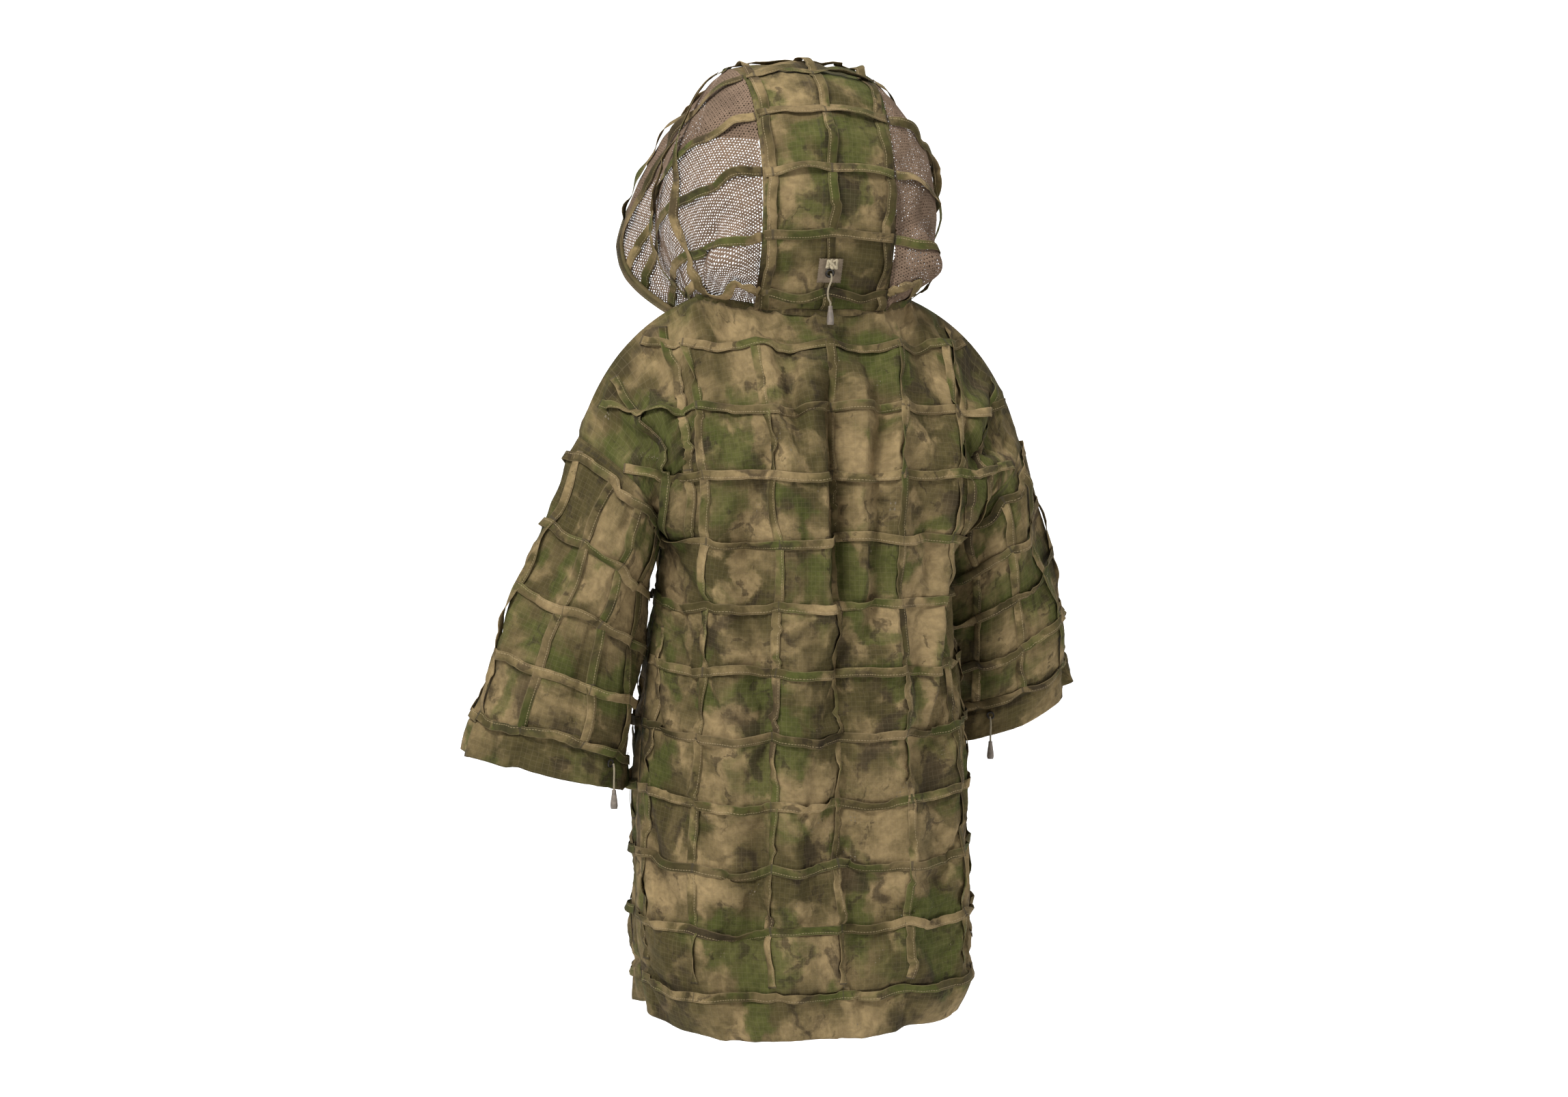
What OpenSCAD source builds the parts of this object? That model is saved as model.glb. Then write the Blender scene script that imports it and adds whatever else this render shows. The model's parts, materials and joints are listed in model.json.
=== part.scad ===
// Hooded camouflage base coat with attachment netting, as worn. Front faces -Y, wearer's left is +X.
// The origin is the middle of the neck opening, level with the back neck seam. Units are millimetres.

/* [Coat body] */
// Drop from the back neck seam to the hem
coat_length = 888; // [760:1:1100]
// Half width at the underarms
chest_half = 186; // [165:1:230]
// Depth of the back at the chest, from the side seam
chest_back = 135; // [112:1:165]
// Half width at the hem
hem_half = 222; // [190:1:270]
// Depth of the back at the hem
hem_back = 150; // [125:1:185]
// Depth of the front at the hem
hem_front = 205; // [170:1:250]
// Rise of the hem at the side seams
hem_side_rise = 20; // [0:1:40]
// Thickness that every cloth shell is drawn with
cloth = 3; // [2:0.1:4]
// Gap left where two cut pieces are sewn together, as a share of a panel
seam_gap = 0.012; // [0.01:0.001:0.02]
// Gap between the cloth and a facing inside it
facing_gap = 3; // [2.6:0.1:4]

/* [Shoulders and neck] */
// Half width of the neck seam
neck_half = 138; // [115:1:165]
// Depth of the neck seam behind the shoulders
neck_back = 75; // [62:1:90]
// Depth of the neck seam in front of the shoulders
neck_front = 118; // [98:1:140]
// Rise of the neck seam at the sides
neck_rise = 20; // [0:1:30]
// Drop of the neck seam at the front
neck_drop = 30; // [20:1:60]
// Half width to the top of the dropped sleeve seam
seam_top_x = 292; // [262:1:320]
// Drop to the top of the dropped sleeve seam
seam_top_drop = 155; // [120:1:185]
// Drop to the underarm
underarm_drop = 275; // [245:1:330]
// Fullness of the sleeve seam, front and back
armhole_depth = 88; // [76:1:105]

/* [Sleeves] */
// Sideways place of the left cuff's middle
left_cuff_x = 334; // [326:1:380]
// Sideways place of the right cuff's middle
right_cuff_x = 322; // [312:1:370]
// Drop from the neck to the left cuff's middle
left_cuff_drop = 562; // [480:1:640]
// Drop from the neck to the right cuff's middle
right_cuff_drop = 512; // [450:1:600]
// How far the left cuff hangs forward
left_cuff_forward = 20; // [0:1:60]
// How far the right cuff hangs forward
right_cuff_forward = 90; // [20:1:110]
// Half width of the left cuff
left_cuff_half = 109; // [90:1:114]
// Half width of the right cuff
right_cuff_half = 96; // [80:1:104]
// Depth of a cuff from its middle
cuff_depth = 85; // [72:1:100]
// Tilt of the left cuff
left_cuff_tilt = 14; // [0:1:25]
// Tilt of the right cuff
right_cuff_tilt = 24; // [0:1:30]

/* [Hood] */
// Height of the hood above the neck seam
hood_height = 315; // [270:1:370]
// How far the crown reaches in front of the shoulders
hood_reach = 170; // [145:1:200]
// How far the hood stands out behind the shoulders
hood_bulge = 110; // [95:1:130]
// Width of the hood's middle panel
hood_panel_w = 172; // [145:1:205]
// Fullness of the mesh sides
hood_fullness = 215; // [185:1:250]
// Width of the binding round the face opening
binding_w = 20; // [14:1:26]

/* [Netting] */
// Width of a netting tape
tape_w = 12; // [10:0.5:14]
// Thickness of a netting tape
tape_t = 1.2; // [0.8:0.1:1.6]
// Distance between the rows of tape
row_pitch = 79.7; // [66:0.1:96]
// Drop from the neck to the first row
first_row = 33; // [27:1:40]
// Distance between the tapes that run down
column_pitch = 75; // [62:1:90]
// How far the tapes that run down stand off the cloth
tape_lift = 2.2; // [1.8:0.1:3]
// Gap where a row of tape passes over one that runs down
tape_gap = 1.6; // [1.3:0.1:2]
// Depth of the turned hem
hem_band = 55; // [45:1:66]
// Depth of the turned cuff
cuff_band = 42; // [34:1:50]

/* [Front zip] */
// Length of the zip
zip_length = 800; // [660:1:850]
// Width of each zip tape
zip_tape_w = 20; // [16:1:24]
// Width of each row of coils
zip_coil_w = 2.8; // [2.2:0.1:3.4]
// Height of the coils
zip_coil_t = 2; // [1.6:0.1:2.4]
// Length of the slider
slider_l = 14; // [11:0.5:17]
// Width of the slider
slider_w = 11; // [9.5:0.5:13]
// Length of the pull tab
pull_l = 34; // [28:1:42]
// Running clearance of the slider and the pull
zip_clear = 0.4; // [0.3:0.05:0.6]
// Radius of the slider's cross pin
pull_pin_r = 0.8; // [0.6:0.05:1]

/* [Cords] */
// Side of the webbing patch on the hood
patch_w = 31; // [25:1:38]
// Height of the patch's middle above the neck seam
patch_z = 48; // [42:1:56]
// Radius of the hole in an eyelet
eyelet_r = 3; // [2.5:0.1:3.5]
// Width of an eyelet's rim
eyelet_rim = 2.6; // [2:0.1:3]
// Diameter of the elastic cords
cord_d = 2.4; // [2:0.1:2.8]
// Length of a cord end
end_l = 23; // [19:1:28]
// Largest radius of a cord end
end_r = 4.6; // [3.8:0.1:5.5]
// Width of the hanger loop inside the neck
loop_w = 60; // [50:1:72]

/* [Hidden] */
$fn = 32;

BACK = 1;
FRONT = -1;
LEFT = 1;
RIGHT = -1;
neck_share = 0.5;    // share of the top edge that is neck seam
yoke_share = 0.34;   // share of the height above the underarm
row_lift = tape_lift + tape_t + tape_gap;
seam_end = 0.992;    // where a panel stops before the side seam
row_stop = 0.93;     // where a row of tape stops before it
zip_gap = 12;
hem_z = -coat_length;
chest_z = -underarm_drop - 25;
front_lean = (hem_front - neck_front) / (coat_length - neck_drop);
front_angle = atan(front_lean);
front_x = asin(zip_gap / chest_half) / 90;
camo = [0.40, 0.35, 0.24];
camo_dark = [0.30, 0.28, 0.18];
tape_tan = [0.50, 0.43, 0.30];
mesh_brown = [0.45, 0.38, 0.33];
trim_brown = [0.30, 0.26, 0.22];
steel = [0.35, 0.34, 0.33];

// The hood cord hangs from its eyelet: out of the knot, over the patch and down to the cord end.
HOOD_CORD = [
    [0, 104, 44], [0, 107, 41], [1, 108, 35], [4, 108, 28], [5, 107, 21],
    [4, 106, 14], [1, 105, 9], [1, 105, 5]
];
// A cuff cord leaves its eyelet, drops behind the cuff's edge and hangs to the cord end.
CUFF_CORD = [[0, 0, 0], [0, 2, -3], [0, 3, -8], [0, 3, -14], [0, 2, -20], [0, 2, -26], [0, 2, -32]];

function mix(a, b, t) = a + (b - a) * t;
function clamp(t) = max(0, min(1, t));
function unit(v) = v / max(norm(v), 1e-9);
function bend(a, m, b, t) = (1 - t) * (1 - t) * a + 2 * t * (1 - t) * m + t * t * b;
function front_y(z) = -(neck_front + front_lean * (-neck_drop - z));

// A smooth curve through a few points, t from 0 to 1.
function through(p, t) =
    let (n = len(p) - 1, x = clamp(t) * n, i = min(floor(x), n - 1), f = x - i,
         b = p[i], c = p[i + 1],
         a = i == 0 ? 2 * b - c : p[i - 1],
         d = i == n - 1 ? 2 * c - b : p[i + 2])
    0.5 * (2 * b + (c - a) * f + (2 * a - 5 * b + 4 * c - d) * f * f + (3 * b - a - 3 * c + d) * f * f * f);

// The coat's top edge: half the neck seam, then the shoulder down to the sleeve seam.
function top_edge(s, face) =
    let (a = abs(s), g = sign(s), turn = 90 * clamp(a / neck_share),
         y = face == BACK ? neck_back * cos(turn) : -neck_front * cos(turn),
         z = neck_rise * pow(sin(turn), 2) - (face == BACK ? 0 : neck_drop * cos(turn)),
         r = clamp((a - neck_share) / (1 - neck_share)),
         ridge = bend([neck_half, 0, neck_rise], [seam_top_x - 37, 0, -26],
                      [seam_top_x, 0, -seam_top_drop], r))
    a < neck_share ? [g * neck_half * sin(turn), y, z] : [g * ridge[0], 0, ridge[2]];

// The three other curves that the coat hangs on: the armhole bend, the chest ring and the hem.
function arm_bend(s, face) =
    let (x = (seam_top_x + chest_half) / 2, z = -(seam_top_drop + underarm_drop) / 2,
         z0 = face == BACK ? -30 : -80, y0 = face == BACK ? chest_back : -front_y(z0))
    [x * sin(90 * s), face * (y0 + (2 * armhole_depth - y0) * s * s), z0 + (z - z0) * pow(abs(s), 3)];
function chest_ring(s, face) =
    let (y = face == BACK ? chest_back : -front_y(chest_z))
    [chest_half * sin(90 * s), face * y * pow(max(cos(90 * s), 0), 0.8),
     chest_z + (-underarm_drop - chest_z) * s * s];
function hem_ring(s, face) =
    let (y = face == BACK ? hem_back : hem_front)
    [hem_half * sin(90 * s), face * y * pow(max(cos(90 * s), 0), 0.8), hem_z + hem_side_rise * s * s];

// A point of the coat. s runs from the right side seam (-1) to the left (1), t from the top edge to the hem.
function coat(s, t, face) =
    t < yoke_share
    ? bend(top_edge(s, face), arm_bend(s, face), chest_ring(s, face), t / yoke_share)
    : let (r = (t - yoke_share) / (1 - yoke_share))
      mix(chest_ring(s, face), hem_ring(s, face), r)
      + [(12 * sin(180 * r) - 20 * pow(clamp((r - 0.8) / 0.2), 2)) * sin(90 * s), 0, 0];

// The t at which the coat passes a height z.
function level(s, z, face) =
    let (a = top_edge(s, face)[2], m = arm_bend(s, face)[2],
         b = chest_ring(s, face)[2], c = hem_ring(s, face)[2],
         q2 = a - 2 * m + b, q1 = 2 * (m - a), q0 = a - z, root = sqrt(max(q1 * q1 - 4 * q2 * q0, 0)))
    z >= a ? 0
    : z < b ? yoke_share + (1 - yoke_share) * min((z - b) / (c - b), 1)
    : yoke_share * clamp(abs(q2) < 1e-6 ? -q0 / q1 : (-q1 - root) / (2 * q2));

// The sleeve seam as a closed ring, p from 0 at the top round the back to 0.5 at the underarm.
function sleeve_seam(p, hand) =
    let (r = p - floor(p), face = r <= 0.5 ? BACK : FRONT,
         q = coat(1, yoke_share * (r <= 0.5 ? 2 * r : 2 - 2 * r), face))
    [hand * q[0], q[1], q[2]];
function sleeve(p, v, hand) =
    let (left = hand == LEFT,
         half = left ? left_cuff_half : right_cuff_half, tilt = left ? left_cuff_tilt : right_cuff_tilt,
         mid = left ? [left_cuff_x, -left_cuff_forward, -left_cuff_drop]
                    : [-right_cuff_x, -right_cuff_forward, -right_cuff_drop],
         lean = left ? 0 : -7,
         cuff = mid + half * cos(360 * p) * [hand * cos(tilt), 0, sin(tilt)]
              + cuff_depth * sin(360 * p) * [0, cos(lean), sin(lean)])
    mix(sleeve_seam(p, hand), cuff, v) + [hand * 12 * sin(180 * v), 0, 0];

// The hood's middle panel. u runs across it from -1 to 1, v from the nape over the crown to the brow.
function hood_line(v) = through([
    [neck_back + 3, 0], [hood_bulge, 0.29 * hood_height], [hood_bulge - 2, 0.6 * hood_height],
    [0.55 * hood_bulge, 0.89 * hood_height], [-20, hood_height], [-0.65 * hood_reach, 0.935 * hood_height],
    [-hood_reach, 0.75 * hood_height]], v);
function hood(u, v) =
    let (p = hood_line(v)) [hood_panel_w / 2 * u, p[0] - 12 * u * u, p[1] - 10 * u * u * sin(180 * clamp(v))];

// A mesh side of the hood, v from the nape to the face edge, w from the panel down to the neck seam.
function hood_side(v, w, hand) =
    let (turn = 38 + 120 * v, top = hood(1, v),
         foot = [neck_half * sin(turn), (turn < 90 ? neck_back : neck_front) * cos(turn),
                 neck_rise * pow(sin(turn), 2) + (turn > 90 ? neck_drop * cos(turn) : 0)],
         k = hood_fullness / 215,
         full = through([[100, 100, 30], [170 * k, 120, 70], [205 * k, 90, 120], [215 * k, 20, 170],
                         [240 * k, -70, 155], [275 * k, -140, 120], [310 * k, -200, 50]], v),
         q = bend(top, full, foot, w))
    [hand * q[0], q[1], q[2]];

// The outward direction of a surface f(a, b). turn is 1 or -1, whichever points out of the coat.
function outward(f, a, b, turn) =
    let (e = 0.01, a0 = max(a, -0.97), a1 = min(a0, 0.97), b1 = max(0.03, min(b, 0.97)))
    turn * unit(cross(f(a1 + e, b1) - f(a1 - e, b1), f(a1, b1 + e) - f(a1, b1 - e)));

// A closed solid between two grids of points with rows x cols points each.
module solid_between(outer, inner, closed = false) {
    rows = len(outer);
    cols = len(outer[0]);
    size = rows * cols;
    points = concat([for (r = outer) each r], [for (r = inner) each r]);
    last = closed ? rows : rows - 1;
    function at(i, j) = (i % rows) * cols + j;
    skin = [for (i = [0 : last - 1], j = [0 : cols - 2])
        each [[at(i, j), at(i + 1, j), at(i + 1, j + 1)], [at(i, j), at(i + 1, j + 1), at(i, j + 1)]]];
    lining = [for (f = skin) [f[0] + size, f[2] + size, f[1] + size]];
    function wall(a, b) = [[a, b + size, b], [a, a + size, b + size]];
    rims = concat(
        [for (i = [0 : last - 1]) each wall(at(i, 0), at(i + 1, 0))],
        [for (i = [0 : last - 1]) each wall(at(i + 1, cols - 1), at(i, cols - 1))],
        closed ? [] : [for (j = [0 : cols - 2]) each wall(at(0, j + 1), at(0, j))],
        closed ? [] : [for (j = [0 : cols - 2]) each wall(at(rows - 1, j), at(rows - 1, j + 1))]);
    polyhedron(concat(skin, lining, rims) == [] ? [] : points, concat(skin, lining, rims), convexity = 10);
}

// Cloth cut from the surface f: its outer face lies out from the surface by "off", and it is "thick" deep.
module cloth_piece(f, a_list, b_list, turn, off = 0, thick = cloth, closed = false) {
    at_off = function (d) [for (a = a_list) [for (b = b_list) f(a, b) + d * outward(f, a, b, turn)]];
    if (turn > 0) solid_between(at_off(off - thick), at_off(off), closed);
    else solid_between(at_off(off), at_off(off - thick), closed);
}

function steps(from, to, count) = [for (i = [0 : count]) from + (to - from) * i / count];

// A flat tape along points p with outward directions n.
module ribbon(p, n, lift, width = tape_w, thick = tape_t) {
    last = len(p) - 1;
    along = [for (i = [0 : last]) unit(p[min(i + 1, last)] - p[max(i - 1, 0)])];
    side = [for (i = [0 : last]) unit(cross(n[i], along[i])) * width / 2];
    ring = [for (i = [0 : last]) each [
        p[i] + side[i] + n[i] * lift, p[i] + side[i] + n[i] * (lift + thick),
        p[i] - side[i] + n[i] * (lift + thick), p[i] - side[i] + n[i] * lift]];
    faces = concat(
        [[0, 1, 2], [0, 2, 3]],
        [for (i = [0 : last - 1], k = [0 : 3]) let (a = 4 * i + k, b = 4 * i + (k + 1) % 4)
            each [[a, a + 4, b + 4], [a, b + 4, b]]],
        [[4 * last, 4 * last + 2, 4 * last + 1], [4 * last, 4 * last + 3, 4 * last + 2]]);
    polyhedron(ring, faces, convexity = 6);
}

// A tape along a path of [a, b] places on the surface f.
module tape_on(f, path, turn, lift) {
    ribbon([for (q = path) f(q[0], q[1])], [for (q = path) outward(f, q[0], q[1], turn)], lift);
}

// A round cord along points p, as one tube.
module cord_tube(p, d = cord_d, sides = 8) {
    last = len(p) - 1;
    along = [for (i = [0 : last]) unit(p[min(i + 1, last)] - p[max(i - 1, 0)])];
    ring = [for (i = [0 : last]) let (u = unit(cross(along[i], [1, 0, 0.01])), w = cross(along[i], u))
        each [for (k = [0 : sides - 1])
            p[i] + d / 2 * (cos(360 * k / sides) * u + sin(360 * k / sides) * w)]];
    faces = concat(
        [[for (k = [0 : sides - 1]) k]],
        [for (i = [0 : last - 1], k = [0 : sides - 1])
            let (a = i * sides + k, b = i * sides + (k + 1) % sides)
            each [[a, a + sides, b + sides], [a, b + sides, b]]],
        [[for (k = [sides - 1 : -1 : 0]) last * sides + k]]);
    polyhedron(ring, faces, convexity = 4);
}

coat_back = function (s, t) coat(s, t, BACK);
coat_front = function (s, t) coat(s, t, FRONT);
sleeve_l = function (p, v) sleeve(p, v, LEFT);
sleeve_r = function (p, v) sleeve(p, v, RIGHT);
hood_mid = function (u, v) hood(u, v);
mesh_l = function (v, w) hood_side(v, w, LEFT);
mesh_r = function (v, w) hood_side(v, w, RIGHT);

t_down = concat(steps(seam_gap, yoke_share, 8), [for (k = [1 : 8]) mix(yoke_share, 0.998, k / 8)]);
t_hem = 1 - (1 - yoke_share) * hem_band / (coat_length - underarm_drop);
row_count = floor((coat_length - first_row - hem_band) / row_pitch);
rows = [for (k = [0 : row_count]) -first_row - k * row_pitch];
column_count = floor(0.98 * chest_half / column_pitch);
columns = [for (k = [-column_count : column_count]) asin(k * column_pitch / (chest_half + 6)) / 90];

// How far across the top edge a row at height z can run before it meets the shoulder seam.
function row_end(z) =
    let (q2 = neck_rise + 52 - seam_top_drop, q1 = -52 - 2 * neck_rise, q0 = neck_rise - z,
         r = (-q1 - sqrt(max(q1 * q1 - 4 * q2 * q0, 0))) / (2 * q2))
    z < -seam_top_drop ? row_stop : neck_share + (1 - neck_share) * clamp(r) - 0.03;

// ---- coat body ----
module back_panel() {
    color(camo) cloth_piece(coat_back, steps(-seam_end, seam_end, 18), t_down, 1);
}
module front_panel(hand) {
    across = hand == LEFT ? steps(front_x, seam_end, 14) : steps(-seam_end, -front_x, 14);
    color(camo) cloth_piece(coat_front, across, t_down, -1);
}
module neck_facing() {
    color(camo_dark)
        cloth_piece(coat_back, steps(-0.44, 0.44, 20), steps(seam_gap, 0.07, 3), 1, -cloth - facing_gap, 1.2);
}
module hem_facing(f, from, to, turn) {
    color(camo_dark) cloth_piece(f, steps(from, to, 18), steps(t_hem, 0.998, 3), turn, -cloth - facing_gap, 1);
}
module hanger_loop() {
    y = neck_back - cloth - 12;
    color(trim_brown) translate([0, y, -16]) rotate([90, 0, 0])
        linear_extrude(2, center = true) difference() {
            hull() for (x = [-1, 1]) translate([x * (loop_w / 2 - 7), 0]) circle(7);
            hull() for (x = [-1, 1]) translate([x * (loop_w / 2 - 7), 0]) circle(4);
        }
}

// ---- netting on the coat ----
module back_tapes_across() {
    color(tape_tan) for (z = rows) {
        e = row_end(z);
        tape_on(coat_back, [for (s = steps(-e, e, 26)) [s, level(s, z, BACK)]], 1, row_lift);
    }
}
tapes_from = 0.06;  // the tapes that run down start here, clear of the folded hood
tape_run = concat(steps(tapes_from, yoke_share, 6), [for (k = [1 : 10]) mix(yoke_share, t_hem, k / 10)]);
module back_tapes_down() {
    color(tape_tan) for (s = columns)
        tape_on(coat_back, [for (t = tape_run) [s, t]], 1, tape_lift);
}
module front_tapes(hand) {
    first = hand == LEFT ? front_x + 0.05 : -front_x - 0.05;
    color(tape_tan) {
        for (z = [for (q = rows) if (q < -neck_drop - 20) q])
            tape_on(coat_front, [for (s = steps(first, hand * row_end(z), 13)) [s, level(s, z, FRONT)]],
                -1, row_lift);
        for (s = [for (c = columns) if (c * hand > 0) c])
            tape_on(coat_front, [for (t = steps(0.04, t_hem, 14)) [s, t]], -1, tape_lift);
    }
}
module shoulder_tapes(hand) {
    color(tape_tan) for (s = [0.64, 0.82])
        tape_on(coat_back, [for (t = steps(0.03, yoke_share * 0.86, 14)) [hand * s, t]], 1, tape_lift);
}

// ---- front zip: drawn flat with its front face to -Y, then leant to the coat's front ----
module on_front() {
    translate([0, -neck_front, -neck_drop]) rotate([-front_angle, 0, 0]) children();
}
tape_y = cloth + 1.6;
coil_y = tape_y - zip_coil_t;
module zip_tape(hand) {
    color(trim_brown) on_front() translate([hand > 0 ? 0.8 : -0.8 - zip_tape_w, tape_y, -zip_length - 12])
        cube([zip_tape_w, 1, zip_length + 10]);
}
module zip_coil(hand) {
    color(camo_dark) on_front() translate([hand > 0 ? 0.2 : -0.2 - zip_coil_w, coil_y, -zip_length])
        cube([zip_coil_w, zip_coil_t, zip_length - slider_l - 6]);
}
module zip_top_stops() {
    color(steel) on_front() for (x = [-1, 1])
        translate([x * (0.2 + zip_coil_w / 2) - 1.3, coil_y - 0.4, -4]) cube([2.6, zip_coil_t + 0.4, 3]);
}
module zip_bottom_stop() {
    color(steel) on_front() translate([-4, coil_y - 0.6, -zip_length - 6]) cube([8, zip_coil_t + 0.6, 5.5]);
}
module zip_guard() {
    color(camo_dark) on_front()
        translate([-28, tape_y + 6, -zip_length - 30]) cube([56, 1.2, zip_length + 24]);
}
// The slider straddles both rows of coils. Its bail carries the pull on a cross pin.
bail_y = coil_y - zip_clear - 1.4;
pin_y = bail_y - 2.2;
pin_z = -6 - slider_l / 2;
module zip_slider() {
    color(steel) on_front() {
        translate([-slider_w / 2, bail_y, -6 - slider_l]) cube([slider_w, 1.4, slider_l]);
        for (x = [-1, 1]) translate([x * (slider_w / 2 - 0.6) - 0.6, bail_y, -6 - slider_l])
            cube([1.2, 1.4 + zip_clear + zip_coil_t - 0.4, slider_l]);
        for (x = [-1, 1]) translate([x * 3.4 - 0.6, pin_y - 1.4, pin_z - 1.8]) cube([1.2, 4.4, 3.6]);
        translate([0, pin_y, pin_z]) rotate([0, 90, 0]) cylinder(r = pull_pin_r, h = 6.2, center = true);
    }
}
module zip_pull() {
    color(trim_brown) on_front() difference() {
        union() {
            translate([0, pin_y, pin_z]) rotate([0, 90, 0]) cylinder(r = 1.6, h = 4.6, center = true);
            translate([-2.3, pin_y - 1.6, pin_z - pull_l]) cube([4.6, 1.6, pull_l]);
            translate([0, pin_y - 1.6, pin_z - pull_l]) rotate([-90, 0, 0]) cylinder(r = 4, h = 1.6);
        }
        translate([0, pin_y, pin_z]) rotate([0, 90, 0])
            cylinder(r = pull_pin_r + 0.05, h = 12, center = true);
    }
}

// ---- sleeves ----
p_round = [for (k = [0 : 23]) k / 24];
sleeve_rows = 5;
under_from = 0.42;  // the tapes stop short of the underarm on both sides
module sleeve_shell(f, turn) {
    color(camo) cloth_piece(f, p_round, steps(0.03, 0.998, 8), turn, 0, cloth, true);
}
function cuff_from(hand) =
    1 - cuff_band / ((hand == LEFT ? left_cuff_drop : right_cuff_drop) - underarm_drop + 60);
module cuff_facing(f, hand, turn) {
    color(camo_dark)
        cloth_piece(f, p_round, steps(cuff_from(hand), 0.998, 1), turn, -cloth - facing_gap, 1, true);
}
module sleeve_tapes_around(f, hand, turn) {
    color(tape_tan) for (k = [0 : sleeve_rows - 1]) {
        v = mix(0.05, cuff_from(hand) - 0.01, k / (sleeve_rows - 1));
        tape_on(f, [for (p = steps(-under_from, under_from, 24)) [p, v]], turn, row_lift);
    }
}
module sleeve_tapes_down(f, hand, turn) {
    color(tape_tan) for (k = [-3 : 3])
        tape_on(f, [for (v = steps(0.05, cuff_from(hand), 14)) [k / 8 + 0.03, v]], turn, tape_lift);
}
// The place on a cuff's inner edge where its elastic cord comes out.
function cuff_exit(f) = f(0.36, 0.93);
module cuff_eyelet(f, turn) {
    n = outward(f, 0.36, 0.93, turn);
    color(steel) translate(cuff_exit(f) + n * 0.4)
        rotate([0, acos(n[2]), atan2(n[1], n[0])]) eyelet();
}
module eyelet() {
    rotate_extrude() translate([eyelet_r, 0]) hull() {
        square([eyelet_rim, 0.6]);
        translate([eyelet_rim * 0.2, 0]) square([eyelet_rim * 0.5, 1.3]);
    }
}
cuff_out = 5.5;
module cuff_cord(f, turn) {
    q = cuff_exit(f) + cuff_out * outward(f, 0.36, 0.93, turn);
    color(tape_tan) cord_tube([for (k = steps(0, 1, 10)) q + through(CUFF_CORD, k)]);
}
module cord_end(height = end_l) {
    difference() {
        rotate_extrude() polygon([
            [0, 0], [end_r * 0.55, 0], [end_r * 0.62, -height * 0.2], [end_r * 0.9, -height * 0.6],
            [end_r, -height * 0.85], [end_r * 0.85, -height], [0, -height]]);
        for (x = [-1, 1]) translate([x * (end_r + 0.1), 0, -height * 0.7])
            cube([2, 2, height * 0.5], center = true);
    }
}
module cuff_cord_end(f, turn) {
    q = cuff_exit(f) + cuff_out * outward(f, 0.36, 0.93, turn) + CUFF_CORD[len(CUFF_CORD) - 1];
    color(trim_brown) translate(q) cord_end();
}

// ---- hood ----
module hood_panel() {
    color(camo) cloth_piece(hood_mid, steps(-0.985, 0.985, 6), steps(0.03, 0.995, 20), -1);
}
module hood_mesh(f, turn) {
    color(mesh_brown) cloth_piece(f, steps(0.05, 0.99, 13), steps(0.016, 0.96, 9), turn);
}
module hood_face_binding() {
    edge = concat(
        [for (w = steps(0.96, 0.05, 12)) mesh_l(1, w)], [for (u = steps(0.96, -0.96, 5)) hood(u, 1)],
        [for (w = steps(0.05, 0.96, 12)) mesh_r(1, w)]);
    out = [for (q = edge) unit([q[0], 0, q[2] - 90])];
    color(camo_dark) ribbon([for (q = edge) q + [0, -binding_w / 2 - 4, 0]], out, -2, binding_w, 2.4);
}
module hood_tapes_long() {
    color(tape_tan) for (u = [-0.86, 0, 0.86])
        tape_on(hood_mid, [for (v = steps(0.05, 0.985, 18)) [u, v]], -1, tape_lift);
}
hood_rows = [0.04, 0.17, 0.31, 0.43, 0.56, 0.69, 0.83];
module hood_tapes_cross() {
    color(tape_tan) for (v = hood_rows) {
        tape_on(hood_mid, [for (u = steps(-0.9, 0.9, 4)) [u, v]], -1, row_lift);
        tape_on(mesh_l, [for (k = steps(0.06, 0.9, 8)) [v + 0.08 * k, k]], 1, row_lift);
        tape_on(mesh_r, [for (k = steps(0.06, 0.9, 8)) [v + 0.08 * k, k]], -1, row_lift);
    }
}
// The adjuster at the nape: a webbing patch, an eyelet, a knot of flat elastic and the cord with its end.
patch_y = hood_line(0.09)[0] + tape_lift + tape_t + 1.8;
patch_lean = atan((hood_line(0.13)[0] - hood_line(0.05)[0]) / (hood_line(0.13)[1] - hood_line(0.05)[1]));
module on_patch() {
    translate([0, patch_y, patch_z]) rotate([-patch_lean, 0, 0]) children();
}
module hood_patch() {
    color(trim_brown) on_patch() difference() {
        cube([patch_w, 1.4, patch_w], center = true);
        translate([0, 0, -3]) rotate([90, 0, 0])
            cylinder(r = eyelet_r + eyelet_rim + 0.2, h = 6, center = true);
    }
}
module hood_eyelet() {
    color(steel) on_patch() translate([0, -0.3, -3]) rotate([-90, 0, 0]) eyelet();
}
module hood_knot() {
    color(tape_tan) on_patch() translate([0, 5, 10]) {
        rotate([0, 40, 0]) cube([16, 3, 4], center = true);
        rotate([0, -40, 0]) cube([16, 3, 4], center = true);
        cube([7, 5, 7], center = true);
    }
}
module hood_cord() {
    color(tape_tan) cord_tube([for (k = steps(0, 1, 14)) through(HOOD_CORD, k) + [0, hood_cord_out, 0]]);
}
hood_cord_out = patch_y + 3 - HOOD_CORD[0][1];
module hood_cord_end() {
    color(trim_brown) translate(HOOD_CORD[len(HOOD_CORD) - 1] + [0, hood_cord_out, 0]) cord_end();
}

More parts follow.
